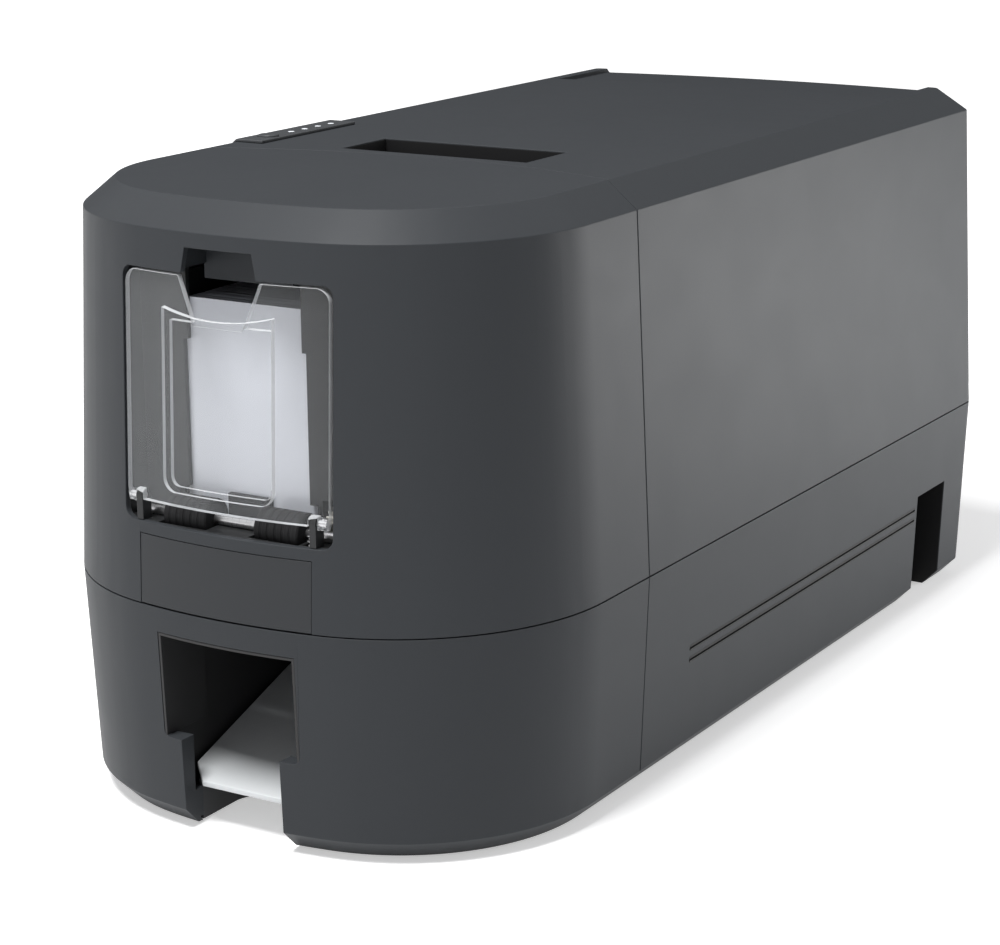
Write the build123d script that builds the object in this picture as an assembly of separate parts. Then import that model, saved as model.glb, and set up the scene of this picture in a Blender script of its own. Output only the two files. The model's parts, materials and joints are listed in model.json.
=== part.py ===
# Desktop plastic card printer, modelled as separate pieces in millimetres.
# X is the width, Y runs from the front (-) to the rear (+), Z is up, and the
# origin is on the table under the middle of the case.
import os
from math import acos, asin, atan2, cos, degrees, hypot, inf, pi, radians, sin, sqrt, tan
from build123d import *

# Case: the outline is widest at the level seam, and each level has its inset from there
WIDTH = 205.0
LENGTH = 441.0
HEIGHT = 222.0
FRONT_Y = -LENGTH / 2
REAR_Y = LENGTH / 2
FRONT_RADIUS = 209.0
FRONT_CORNER = WIDTH / 2 - 22.5
REAR_RADIUS = 480.0
REAR_CORNER = 12.0
LEAST_CORNER = 2.0
WALL = 2.5
SHEET = 1.5
PLAY = 0.2
RUNNING = 0.05
OVER = 1.0
FAR = 400.0
SEAM_GAP = 0.4
FOOT_PROUD = 1.0
BEVEL = 7.0
SKIRT_INSET = 3.3
SEAM_Z = 81.8
CHAMFER_Z = HEIGHT - 9.6
CHAMFER_LOW_INSET = 5.8
CHAMFER_TOP_INSET = 17.3
SEAM_Y = FRONT_Y + 116.0
SEAM_BULGE = 17.0
SEAM_HALF_CHORD = 85.0

# Cards and the magazine that holds them on edge behind the front door
CARD_WIDTH = 54.0
CARD_HEIGHT = 85.6
CARD_THICKNESS = 0.76
CARD_CORNER = 3.18
CARD_COUNT = 50
CARD_FRONT_Y = FRONT_Y + 21.1
CARD_BOTTOM_Z = SEAM_Z + 20.0
CARD_PLAY = 0.3
MAGAZINE_ABOVE_CARDS = 8.0
PUSHER_ROD_X = 15.0
PUSHER_ROD_RADIUS = 2.0
PUSHER_BOSS_RADIUS = 4.5
PUSHER_THICKNESS = 3.0
PUSHER_BOSS_LENGTH = 12.0
PUSHER_BELOW_CARDS = 4.0

# Hopper recess in the front, its door and the thumb notch above it
RECESS_HALF = CARD_WIDTH / 2 + 16.0
RECESS_BOTTOM = CARD_BOTTOM_Z + 9.4
RECESS_TOP = HEIGHT - 23.4
RECESS_CORNER = 4.0
THUMB_TOP = HEIGHT - 14.8
THUMB_HALF_TOP = 13.6
THUMB_HALF_LOW = 16.2
WINDOW_HALF = CARD_WIDTH / 2 - 1.8
WINDOW_HIGH_HALF = CARD_WIDTH / 2 - 3.5
WINDOW_STEP_Z = HEIGHT - 49.0
LINER_BACK = 2.0
DOOR_GAP = 1.3
DOOR_BOTTOM = RECESS_BOTTOM + 6.3
DOOR_TOP_GAP = 0.8
DOOR_THICKNESS = 2.4
DOOR_CORNER = 5.0
PANEL_HALF = 22.5
PANEL_PROUD = 2.0
PANEL_TOP = HEIGHT - 35.0
PANEL_BOTTOM = DOOR_BOTTOM + 6.5
PANEL_SCOOP = 3.0
PANEL_WALL = 1.6
PANEL_INNER_CORNER = 3.5
NOTCH_LOW_HALF = 10.0
DOOR_PIN_Y = FRONT_Y + 6.9
DOOR_PIN_Z = RECESS_BOTTOM + 8.4
DOOR_PIN_RADIUS = 1.2
DOOR_EAR_RADIUS = 2.1
DOOR_RELIEF_Z = DOOR_PIN_Z - 1.0
KNUCKLE_X = 34.6
KNUCKLE_WIDTH = 2.6
KNUCKLE_RADIUS = 2.2
KNUCKLE_PLAY = 0.4

# Output opening in the base: a wide upper mouth and a narrow finger slot below
MOUTH_HALF = CARD_WIDTH / 2 + 1.7
MOUTH_TOP = SEAM_Z - 9.1
MOUTH_STEP = 34.2
MOUTH_CORNER = 2.5
SLOT_HALF = 20.7
SHOULDER_BACK_Y = FRONT_Y + 10.2
CHEEK_DEEP_Y = FRONT_Y + 14.4
CHEEK_DEEP_TOP = 13.6
CHEEK_DEEP_WIDTH = 3.5
NOTCH_END_Y = FRONT_Y + 43.5
NOTCH_CORNER = 10.0
NOTCH_PLAY = 0.3
RAMP_SLOPE = 0.34
RAMP_FRONT_Y = FRONT_Y + 11.5
RAMP_FRONT_Z = 16.7
RAMP_REAR_Y = FRONT_Y + 79.0
RAMP_HALF = CARD_WIDTH / 2 + 0.2
RAMP_CHAMFER = 8.5
RAMP_THICKNESS = 2.0
CHANNEL_WALL = 1.1
SLEEVE_REACH = 17.0
SLEEVE_JOIN = 2.0

# Card path, rollers and the drive between the chassis plates
HEAD_Y = FRONT_Y + 220.5
PATH_Z = 52.0
CHUTE_RADIUS = 58.0
CHUTE_GAP = 1.5
CHUTE_TAB_IN = 6.0
CHUTE_TAB_OUT = 7.0
CHUTE_TOP_DROP = 14.0
PLATE_INNER_X = CARD_WIDTH / 2 + 7.0
CHASSIS_FRONT_Y = HEAD_Y - 135.0
CHASSIS_REAR_Y = HEAD_Y + 112.0
CHASSIS_TOP = SEAM_Z + 50.2
CHASSIS_NOSE_TOP = SEAM_Z + 10.2
CHASSIS_NOSE_LENGTH = 30.0
CHASSIS_GAP_HALF = 26.0
CHASSIS_GAP_Z = PATH_Z + 24.0
CHASSIS_FOOT_LENGTH = 40.0
CHASSIS_FOOT_WIDTH = 9.0
BAR_RADIUS = 3.0
BAR_FRONT_Y = CHASSIS_FRONT_Y + 31.0
BAR_REAR_Y = CHASSIS_REAR_Y - 10.0
BAR_LOW_Z = 14.0
BAR_FRONT_Z = CHASSIS_NOSE_TOP - 12.0
BAR_REAR_Z = CHASSIS_TOP - 14.0
PATH_PLATE = 2.4
PATH_PLATE_DROP = 0.6
ROLLER_RADIUS = 8.0
ROLLER_HALF = CARD_WIDTH / 2 + 2.0
ROLLER_PITCH_Y = 70.0
SHAFT_RADIUS = 3.0
PINCH_RADIUS = 5.0
PINCH_SHAFT_RADIUS = 2.0
BUSH_WALL = 1.5
BUSH_PROUD = 0.6
BELT_THICKNESS = 1.2
BELT_CLEARANCE = 0.1
PULLEY_WIDTH = 4.0
PULLEY_FLANGE = 2.2
GEAR_WIDTH = 4.0
DRIVE_MODULE = 1.0
DRIVE_PINION_TEETH = 20
DRIVE_GEAR_TEETH = 56
MOTOR_SIZE = 34.0
MOTOR_LENGTH = 30.0
MOTOR_CHAMFER = 3.0
MOTOR_AXIS_Z = 22.5
MOTOR_SHAFT_RADIUS = 2.5
MOTOR_BORE_DEPTH = 10.0
MOTOR_HOLE_RADIUS = 7.0

# Pick rollers under the front card
PICK_Y = FRONT_Y + 14.0
PICK_Z = RECESS_BOTTOM + 1.8
PICK_RADIUS = 7.0
PICK_SHAFT_RADIUS = 2.0
PICK_INNER_X = 10.0
PICK_OUTER_X = 27.8
PICK_MODULE = 0.6
PICK_GEAR_TEETH = 17
FEED_GEAR_TEETH = 30
PICK_GEAR_WIDTH = 3.0
FEED_MOTOR_RADIUS = 6.6
FEED_MOTOR_LENGTH = 18.0
FEED_SHAFT_RADIUS = 1.5
FEED_PLATE = 1.4

# Gate in the lower end of the chute
GATE_FRONT_Y = FRONT_Y + 52.5
GATE_PIVOT_Y = FRONT_Y + 77.5
GATE_PIVOT_Z = PATH_Z - 3.1
GATE_PIN_RADIUS = 1.5
GATE_PLAY = 0.6

# Ribbon rolls and the print head, which hangs from the cover
TAKEUP_Y = HEAD_Y - 62.0
TAKEUP_Z = PATH_Z + 53.0
TAKEUP_RADIUS = 14.0
SUPPLY_Y = HEAD_Y + 66.0
SUPPLY_Z = PATH_Z + 56.0
SUPPLY_RADIUS = 24.0
CORE_RADIUS = 8.0
CORE_PIN_RADIUS = 3.0
CORE_PAST_ROLL = 3.0
RIBBON_HALF = CARD_WIDTH / 2 + 2.0
FILM = 0.2
FILM_PLAY = 0.3
FILM_FLAT_HALF = 3.6
FILM_DROP = 0.5
HEAD_HALF = CARD_WIDTH / 2 + 1.0
HEAD_BOTTOM = PATH_Z + 2.2
HEAD_HEIGHT = 7.0
HEAD_DEPTH = 14.0
HEAD_CHAMFER = 3.0
HEAD_NOSE_HALF = 3.0
SINK_PLATE = 3.0
SINK_FIN = 1.2
SINK_FIN_HEIGHT = 9.0
SINK_FINS = 5
SINK_POST_X = 20.0
SINK_POST_RADIUS = 3.2
SINK_POST_HEIGHT = 40.0
SINK_CLIP_RADIUS = 4.6
CARRIER_DEPTH = 22.0
CARRIER_SIDE = 3.0
CARRIER_PLATE = 3.0
CARRIER_RISE = 34.0
SPRING_RADIUS = 5.0
SPRING_WIRE = 1.0
SPRING_TURNS = 5

# Cover and its hinge at the rear end of the level seam
HINGE_Y = REAR_Y - 16.5
HINGE_Z = SEAM_Z + 1.8
HINGE_PIN_RADIUS = 2.0
LUG_X = WIDTH / 2 - 16.5
LUG_WIDTH = 6.0
LUG_RADIUS = 4.5
LUG_FOOT_Z = SEAM_Z - 21.8
EAR_GAP = 0.5
EAR_WIDTH = 3.6
EAR_RADIUS = 4.0
ARM_HEIGHT = 18.0
ARM_LENGTH = 8.0
OPENING_SLOPE = 2.3
REAR_PANEL_HALF = WIDTH / 2 - 19.0
REAR_PANEL_TOP = HEIGHT - 17.7
REAR_PANEL_DEPTH = 26.5
VENT_COUNT = 9
VENT_PITCH = 10.0
VENT_WIDTH = 4.0
VENT_TOP = REAR_PANEL_TOP - 24.3
VENT_HEIGHT = 30.0
POCKET_HALF = 40.0
POCKET_FRONT_Y = FRONT_Y + 137.5
POCKET_REAR_Y = FRONT_Y + 167.5
POCKET_DEPTH = 13.0
REAR_STEP = 2.0
REAR_STEP_HALF = WIDTH / 2 - 22.5
REAR_STEP_WIDTH = 46.0
REAR_STEP_PAD_Y = REAR_Y - 70.5

# Control strip on the left edge of the top
STRIP_X = -WIDTH / 2 + 12.5
STRIP_WIDTH = 17.0
STRIP_FRONT_Y = FRONT_Y + 132.5
STRIP_REAR_Y = FRONT_Y + 195.5
STRIP_PROUD = 1.2
BUTTON_X = STRIP_X + STRIP_WIDTH - 5.6
BUTTON_Y = STRIP_FRONT_Y + 12.0
BUTTON_RADIUS = 4.0
BUTTON_TRAVEL = 0.8
BUTTON_RIM = 1.2
BUTTON_RIM_HEIGHT = 1.4
LENS_RADIUS = 1.3
LENS_COUNT = 4
LENS_FIRST_Y = STRIP_FRONT_Y + 27.0
LENS_PITCH = 9.0
LENS_REACH = 2.0
LIGHT_BOARD = 1.4
LIGHT_BOARD_DROP = 4.6
LIGHT_BOARD_POST = 2.0

# Control board, power supply and the openings for the ports: x, z, width, height
SUPPLY_BOX_X = WIDTH / 2 - 48.5
SUPPLY_BOX_SIZE = (34.0, 140.0, 43.5)
SUPPLY_BOX_Y = HEAD_Y - 80.0
BOARD_X = SUPPLY_BOX_X - 5.5
BOARD_LOW_Z = 8.0
BOARD_HEIGHT = 66.0
BOARD_THICKNESS = 1.6
BOARD_Y = (HEAD_Y - 60.0, HEAD_Y + 100.0)
BOARD_STANDS_Y = (HEAD_Y - 50.0, HEAD_Y + 20.0, HEAD_Y + 56.0)
BOARD_STAND = (3.0, 8.0)
CHIP_SIZE = (3.0, 14.0, 14.0)
CHIP_Y = (HEAD_Y - 40.0, HEAD_Y - 10.0, HEAD_Y + 30.0)
CHIP_Z = (BOARD_LOW_Z + 10.0, BOARD_LOW_Z + 36.0)
PORT_DEPTH = 14.0
PORT_WALL = 1.4
PORT_SINK = 0.6
PIN_DEPTH = 6.0
PIN_SIZE = (2.0, 4.0)
PIN_PLACES = ((-7.0, 1.5), (0.0, -2.5), (7.0, 1.5))
TONGUE_SIDE = 3.0
TONGUE_HEIGHT = 2.4
ROCKER_PIN_RADIUS = 1.0
PORTS = {"power_inlet": (-WIDTH / 4 - 6.75, 34.0, 28.0, 20.0),
         "power_switch": (-WIDTH / 8 - 0.375, 34.0, 20.0, 13.0),
         "usb_port": (2.0, 32.0, 12.2, 11.2), "network_port": (WIDTH / 8 + 2.375, 33.0, 16.2, 13.6)}

# Base details
GROOVE_Z = (40.0, 44.6)
GROOVE_HEIGHT = 1.4
GROOVE_DEPTH = 1.0
GROOVE_FRONT_Y = FRONT_Y + 151.5
GROOVE_REAR_Y = REAR_Y - 74.5
GRIP_FRONT_Y = REAR_Y - 72.0
GRIP_REAR_Y = REAR_Y - 41.5
GRIP_TOP = 50.0
GRIP_DEPTH = 16.0
BADGE_HALF = 35.8
BADGE_TOP = RECESS_BOTTOM - 4.2
BADGE_DEPTH = 0.8
BADGE_SINK = 0.1
FOOT_RADIUS = 9.0
FOOT_X = WIDTH / 2 - 34.5
FOOT_Y = LENGTH / 2 - 60.5

SKIN = ((FOOT_PROUD, SKIRT_INSET + BEVEL), (FOOT_PROUD + BEVEL, SKIRT_INSET), (SEAM_Z, 0.0),
        (CHAMFER_Z, CHAMFER_LOW_INSET), (HEIGHT, CHAMFER_TOP_INSET))
PLATE_TOP = FOOT_PROUD + SHEET
PAN_INSET = SKIRT_INSET + BEVEL + WALL + 2 * PLAY
PAN_FRONT_Y = FRONT_Y + PAN_INSET
CARD_BACK_Y = CARD_FRONT_Y + CARD_COUNT * CARD_THICKNESS
CARD_MIDDLE_Z = CARD_BOTTOM_Z + CARD_HEIGHT / 2
ROLLER_Z = PATH_Z - ROLLER_RADIUS
PINCH_Z = PATH_Z + CARD_THICKNESS + PINCH_RADIUS
DRIVE_DISTANCE = DRIVE_MODULE * (DRIVE_PINION_TEETH + DRIVE_GEAR_TEETH) / 2
DRIVE_Y = HEAD_Y - ROLLER_PITCH_Y
MOTOR_Y = DRIVE_Y + sqrt(DRIVE_DISTANCE ** 2 - (ROLLER_Z - MOTOR_AXIS_Z) ** 2)
FEED_DISTANCE = PICK_MODULE * (PICK_GEAR_TEETH + FEED_GEAR_TEETH) / 2
FEED_Y = PICK_Y + FEED_DISTANCE
MAGAZINE_INNER = CARD_WIDTH / 2 + CARD_PLAY
MAGAZINE_REAR_Y = SEAM_Y - 3.0
PICK_GEAR_X = PICK_OUTER_X + 3.2
FEED_PLATE_X = PICK_GEAR_X + PICK_GEAR_WIDTH + 0.8
CHASSIS_OUT_X = PLATE_INNER_X + SHEET

parts = {}


def box(x0, x1, y0, y1, z0, z1):
    """Solid box between two corners."""
    size = (x1 - x0, y1 - y0, z1 - z0)
    return Pos((x0 + x1) / 2, (y0 + y1) / 2, (z0 + z1) / 2) * Box(*size)


def rod(y, z, radius, x0, x1):
    """Round bar along X."""
    return Pos((x0 + x1) / 2, y, z) * Rot(0, 90, 0) * Cylinder(radius, x1 - x0)


def rod_y(x, z, radius, y0, y1):
    """Round bar along Y."""
    return Pos(x, (y0 + y1) / 2, z) * Rot(90, 0, 0) * Cylinder(radius, y1 - y0)


def rod_z(x, y, radius, z0, z1):
    """Round bar along Z."""
    return Pos(x, y, (z0 + z1) / 2) * Cylinder(radius, z1 - z0)


def prism_x(points, x0, x1):
    """Prism along X from (y, z) corners."""
    corners = [Vector(x0, y, z) for y, z in points]
    face = Face(Wire.make_polygon(corners, close=True))
    return Solid.extrude(face, Vector(x1 - x0, 0, 0))


def joined(pieces):
    """One shape from several that touch."""
    result = pieces[0]
    for piece in pieces[1:]:
        result = result + piece
    return result


def outline(inset, z):
    """Closed plan outline of the case, inset from its widest line."""
    half = WIDTH / 2 - inset
    front_r = FRONT_RADIUS - inset
    corner_r = FRONT_CORNER - inset
    rear_r = REAR_RADIUS - inset
    rear_c = max(REAR_CORNER - inset, LEAST_CORNER)
    front_cy = -LENGTH / 2 + FRONT_RADIUS
    rear_cy = LENGTH / 2 - REAR_RADIUS
    corner_x = half - corner_r
    corner_y = front_cy - sqrt((front_r - corner_r) ** 2 - corner_x ** 2)
    front_a = asin(corner_x / (front_r - corner_r))
    rear_x = half - rear_c
    rear_y = rear_cy + sqrt((rear_r - rear_c) ** 2 - rear_x ** 2)
    rear_a = asin(rear_x / (rear_r - rear_c))

    def point(x, y):
        return Vector(x, y, z)

    def front(a):
        return point(front_r * sin(a), front_cy - front_r * cos(a))

    def corner(a, side):
        return point(side * (corner_x + corner_r * sin(a)), corner_y - corner_r * cos(a))

    def rear(a):
        return point(rear_r * sin(a), rear_cy + rear_r * cos(a))

    def rear_corner(a, side):
        return point(side * (rear_x + rear_c * sin(a)), rear_y + rear_c * cos(a))

    mid_front = (front_a + pi / 2) / 2
    mid_rear = (rear_a + pi / 2) / 2
    edges = [
        Edge.make_three_point_arc(front(-front_a), front(0), front(front_a)),
        Edge.make_three_point_arc(front(front_a), corner(mid_front, 1), point(half, corner_y)),
        Edge.make_line(point(half, corner_y), point(half, rear_y)),
        Edge.make_three_point_arc(point(half, rear_y), rear_corner(mid_rear, 1), rear(rear_a)),
        Edge.make_three_point_arc(rear(rear_a), rear(0), rear(-rear_a)),
        Edge.make_three_point_arc(rear(-rear_a), rear_corner(mid_rear, -1), point(-half, rear_y)),
        Edge.make_line(point(-half, rear_y), point(-half, corner_y)),
        Edge.make_three_point_arc(point(-half, corner_y), corner(mid_front, -1), front(-front_a)),
    ]
    return Wire(edges)


def block(levels):
    """Solid through the outline at each (z, inset) level."""
    return Solid.make_loft([outline(inset, z) for z, inset in levels], ruled=True)


def inset_at(z):
    """Inset of the outer skin at one height."""
    for (z0, i0), (z1, i1) in zip(SKIN, SKIN[1:]):
        if z <= z1:
            return i0 + (i1 - i0) * (z - z0) / (z1 - z0)
    return SKIN[-1][1]


def front_y(x, z):
    """Outer front surface at one place near the middle."""
    inset = inset_at(z)
    return -LENGTH / 2 + FRONT_RADIUS - sqrt((FRONT_RADIUS - inset) ** 2 - x ** 2)


def rear_y(x, z):
    """Outer rear surface at one place."""
    return LENGTH / 2 - REAR_RADIUS + sqrt((REAR_RADIUS - inset_at(z)) ** 2 - x ** 2)


def gear(module, teeth, width, bore, turn, y, z, x0):
    """Involute spur gear about an axis along X."""
    pitch_r = module * teeth / 2
    base_r = pitch_r * cos(radians(20))
    tip_r = pitch_r + 0.9 * module
    root_r = pitch_r - 1.25 * module
    backlash = 0.08 * module / pitch_r

    def involute(r):
        a = acos(base_r / r)
        return tan(a) - a

    half_tooth = pi / (2 * teeth) - backlash + involute(pitch_r)
    steps = 4
    low_r = max(base_r, root_r)
    flank = [low_r + (tip_r - low_r) * i / steps for i in range(steps + 1)]
    points = []
    for n in range(teeth):
        middle = radians(turn) + 2 * pi * n / teeth
        left = [(r, middle - half_tooth + involute(r)) for r in flank]
        right = [(r, middle + half_tooth - involute(r)) for r in reversed(flank)]
        tooth = [(root_r, left[0][1])] + left + right + [(root_r, right[-1][1])]
        points += [(y + r * cos(a), z + r * sin(a)) for r, a in tooth]
    body = prism_x(points, x0, x0 + width)
    return body - rod(y, z, bore, x0 - 1, x0 + width + 1)


def coil(radius, wire, turns, start, end, axis_point):
    """Compression spring along Z, one unbroken wire on biarcs of a half turn."""
    pitch = (end - start) / turns
    cx, cy = axis_point

    def place(a):
        return Vector(cx + radius * cos(a), cy + radius * sin(a), start + pitch * a / (2 * pi))

    def heading(a):
        return Vector(-radius * sin(a), radius * cos(a), pitch / (2 * pi)).normalized()

    edges = []
    for i in range(int(turns * 2)):
        a0 = pi * i
        a1 = pi * (i + 1)
        p0, p1, t0, t1 = place(a0), place(a1), heading(a0), heading(a1)
        chord = p1 - p0
        both = t0 + t1
        b = chord.dot(both)
        c = chord.dot(chord)
        k = 2 * (1 - t0.dot(t1))
        d = (-b + sqrt(b * b + k * c)) / k
        joint = (p0 + p1 + (t0 - t1) * d) * 0.5
        edges.append(Edge.make_tangent_arc(p0, t0, joint))
        edges.append(Edge.make_tangent_arc(joint, joint - (p0 + t0 * d), p1))
    path = Wire(edges)
    section = Face(Wire.make_circle(wire / 2, Plane(origin=path @ 0, z_dir=path % 0)))
    samples = [path @ (i / 400) for i in range(401)]
    per_turn = 400 / turns
    gap = inf
    for i, first in enumerate(samples):
        for second in samples[int(i + per_turn * 0.6):]:
            gap = min(gap, (first - second).length - wire)
    print("least gap of the spring to itself", round(gap, 2), "mm")
    return Solid.sweep(section, path)


def pair(sign, a, b):
    """Two x values on one side of the middle, the lower one first."""
    return sorted((sign * a, sign * b))


def levels(grow):
    """Heights and insets of the outer skin, moved inward by one amount."""
    return tuple((z, inset + grow) for z, inset in SKIN)


outer = block(SKIN)
inner = block(((0.0, SKIRT_INSET + BEVEL + WALL + FOOT_PROUD),
               (FOOT_PROUD + BEVEL, SKIRT_INSET + WALL), (SEAM_Z, WALL),
               (CHAMFER_Z - 1.0, CHAMFER_LOW_INSET + WALL),
               (HEIGHT - WALL, CHAMFER_TOP_INSET + WALL - 0.6)))
skin = outer - inner
seam_radius = (SEAM_HALF_CHORD ** 2 + SEAM_BULGE ** 2) / (2 * SEAM_BULGE)
seam_centre = SEAM_Y + SEAM_BULGE - seam_radius


def ahead_of_seam(gap):
    """Space in front of the upright seam, which bulges rearward in the top."""
    flat = box(-FAR, FAR, -FAR, SEAM_Y - gap, -FAR, FAR)
    drum = rod_z(0, seam_centre, seam_radius - gap, CHAMFER_Z - 6, FAR)
    crown = drum & box(-FAR, FAR, SEAM_Y - gap - 1, FAR, -FAR, FAR)
    return flat + crown


def make_base():
    """Front and rear parts of the base, with mouth, grooves and grip."""
    below = box(-FAR, FAR, -FAR, FAR, -FAR, SEAM_Z - SEAM_GAP / 2)
    base = skin & below
    front = base & box(-FAR, FAR, -FAR, SEAM_Y - SEAM_GAP / 2, -FAR, FAR)
    inside = inner & below
    low = PLATE_TOP + PLAY
    for sign in (1, -1):
        cheek = box(*pair(sign, SLOT_HALF, MOUTH_HALF + SHEET), front_y(0, MOUTH_STEP),
                    SHOULDER_BACK_Y, low, MOUTH_STEP)
        deep = box(*pair(sign, SLOT_HALF, SLOT_HALF + CHEEK_DEEP_WIDTH), SHOULDER_BACK_Y - OVER,
                   CHEEK_DEEP_Y, low, CHEEK_DEEP_TOP)
        front = front + (cheek & inside) + (deep & inside)
    reach = SHOULDER_BACK_Y + 5
    mouth = box(-MOUTH_HALF, MOUTH_HALF, -FAR, reach, MOUTH_STEP, MOUTH_TOP)
    mouth = mouth.fillet(MOUTH_CORNER, mouth.edges().filter_by(Axis.Y).group_by(Axis.Z)[0])
    slot = box(-SLOT_HALF, SLOT_HALF, -FAR, reach, -OVER, MOUTH_STEP + OVER)
    parts["base_front_shell"] = front - mouth - slot

    rear = base & box(-FAR, FAR, SEAM_Y + SEAM_GAP / 2, FAR, -FAR, FAR)
    for z in GROOVE_Z:
        for sign in (1, -1):
            x = sign * (WIDTH / 2 - inset_at(z))
            groove = box(x - GROOVE_DEPTH, x + GROOVE_DEPTH, GROOVE_FRONT_Y, GROOVE_REAR_Y,
                         z - GROOVE_HEIGHT / 2, z + GROOVE_HEIGHT / 2)
            rear = rear - groove
    for sign in (1, -1):
        liner = box(*pair(sign, WIDTH / 2 - GRIP_DEPTH - SHEET, WIDTH / 2), GRIP_FRONT_Y - SHEET,
                    GRIP_REAR_Y + SHEET, low, GRIP_TOP + SHEET)
        grip = box(*pair(sign, WIDTH / 2 - GRIP_DEPTH, WIDTH), GRIP_FRONT_Y, GRIP_REAR_Y,
                   -OVER, GRIP_TOP)
        rear = rear + (liner & inside)
        rear = rear - grip
        x0, x1 = pair(sign, LUG_X, LUG_X + LUG_WIDTH)
        lug = box(x0, x1, HINGE_Y - LUG_RADIUS, HINGE_Y + LUG_RADIUS, LUG_FOOT_Z, HINGE_Z)
        lug = lug + rod(HINGE_Y, HINGE_Z, LUG_RADIUS, x0, x1)
        foot = box(x0, x1, HINGE_Y, REAR_Y, LUG_FOOT_Z, SEAM_Z - 4) & inner
        rear = rear + lug + foot
        rear = rear - rod(HINGE_Y, HINGE_Z, HINGE_PIN_RADIUS + RUNNING, x0 - OVER, x1 + OVER)
    for x, z, w, h in PORTS.values():
        rear = rear - box(x - w / 2, x + w / 2, HINGE_Y - PORT_DEPTH, FAR, z - h / 2, z + h / 2)
    parts["base_rear_shell"] = rear


def make_bottom():
    """Steel floor pan with the finger notch, the wall round the notch and the feet."""
    pan = block(((FOOT_PROUD, PAN_INSET), (PLATE_TOP, PAN_INSET)))
    notch_y = NOTCH_END_Y - NOTCH_CORNER
    half = SLOT_HALF + NOTCH_PLAY

    def plan(grow, y0, z0, z1):
        h = half + grow
        r = NOTCH_CORNER + grow
        body = box(-h, h, y0, notch_y, z0, z1)
        body = body + rod_z(-h + r, notch_y, r, z0, z1) + rod_z(h - r, notch_y, r, z0, z1)
        return body + box(-h + r, h - r, notch_y - OVER, notch_y + r, z0, z1)

    for sign in (1, -1):
        pan = pan - box(*pair(sign, WIDTH / 2 - GRIP_DEPTH - SHEET - NOTCH_PLAY, WIDTH),
                        GRIP_FRONT_Y - SHEET - NOTCH_PLAY, GRIP_REAR_Y + SHEET + NOTCH_PLAY,
                        0, PLATE_TOP + OVER)
    feet = [rod_z(x, y, FOOT_RADIUS, 0, FOOT_PROUD)
            for x in (FOOT_X, -FOOT_X) for y in (FOOT_Y, -FOOT_Y)]
    parts["rubber_feet"] = Compound(feet)

    wall_top = RAMP_FRONT_Z + (RAMP_REAR_Y - RAMP_FRONT_Y) * RAMP_SLOPE
    wall = plan(SHEET, PAN_FRONT_Y + SHEET, FOOT_PROUD, wall_top) - plan(0, -FAR, 0, FAR)
    low = RAMP_FRONT_Z - RAMP_THICKNESS
    under = [(RAMP_FRONT_Y, 0), (RAMP_FRONT_Y, low),
             (RAMP_REAR_Y, low + (RAMP_REAR_Y - RAMP_FRONT_Y) * RAMP_SLOPE), (RAMP_REAR_Y, 0)]
    pan = (pan - plan(0, -FAR, 0, PLATE_TOP + OVER)) + (wall & prism_x(under, -WIDTH / 2, WIDTH / 2))
    wide, long = BOARD_STAND
    for y in BOARD_STANDS_Y:
        pan = pan + box(BOARD_X, BOARD_X + wide, y, y + long, FOOT_PROUD, BOARD_LOW_Z)
    parts["bottom_plate"] = pan


def make_output():
    """Sloped card ramp and the dark channel round it."""
    top = RAMP_FRONT_Z + (RAMP_REAR_Y - RAMP_FRONT_Y) * RAMP_SLOPE
    side = [(RAMP_FRONT_Y, RAMP_FRONT_Z), (RAMP_REAR_Y, top), (RAMP_REAR_Y, top - RAMP_THICKNESS),
            (RAMP_FRONT_Y, RAMP_FRONT_Z - RAMP_THICKNESS)]
    ramp = prism_x(side, -RAMP_HALF, RAMP_HALF)
    for sign in (1, -1):
        corner = [Vector(sign * RAMP_HALF, RAMP_FRONT_Y, 0),
                  Vector(sign * RAMP_HALF, RAMP_FRONT_Y + RAMP_CHAMFER, 0),
                  Vector(sign * (RAMP_HALF - RAMP_CHAMFER), RAMP_FRONT_Y, 0)]
        cutter = Solid.extrude(Face(Wire.make_polygon(corner, close=True)), Vector(0, 0, MOUTH_TOP))
        ramp = ramp - cutter
    parts["output_ramp"] = ramp

    far = MOUTH_HALF - PLAY / 2
    near = far - CHANNEL_WALL
    high = MOUTH_TOP - PLAY / 2
    sleeve_y = SHOULDER_BACK_Y + SLEEVE_REACH
    sleeve = box(-far, far, FRONT_Y, sleeve_y, MOUTH_STEP + PLAY, high)
    sleeve = sleeve - box(-near, near, -FAR, FAR, 0, high - CHANNEL_WALL)
    walls = [sleeve & block(levels(PLAY))]
    y1 = CHASSIS_FRONT_Y - 2 * SHEET
    skirt = FOOT_PROUD + BEVEL + OVER
    wide = MOUTH_HALF + PLAY
    for sign in (1, -1):
        x0, x1 = pair(sign, wide, wide + CHANNEL_WALL)
        walls.append(box(*pair(sign, near, wide + CHANNEL_WALL), sleeve_y - SLEEVE_JOIN, sleeve_y,
                         MOUTH_STEP + PLAY, high))
        walls.append(box(x0, x1, SHOULDER_BACK_Y + PLAY, y1, skirt, high))
        walls.append(box(x0, x1, PAN_FRONT_Y + 2 * SHEET, y1, PLATE_TOP, skirt + PLAY))
    parts["output_channel"] = joined(walls)


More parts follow.
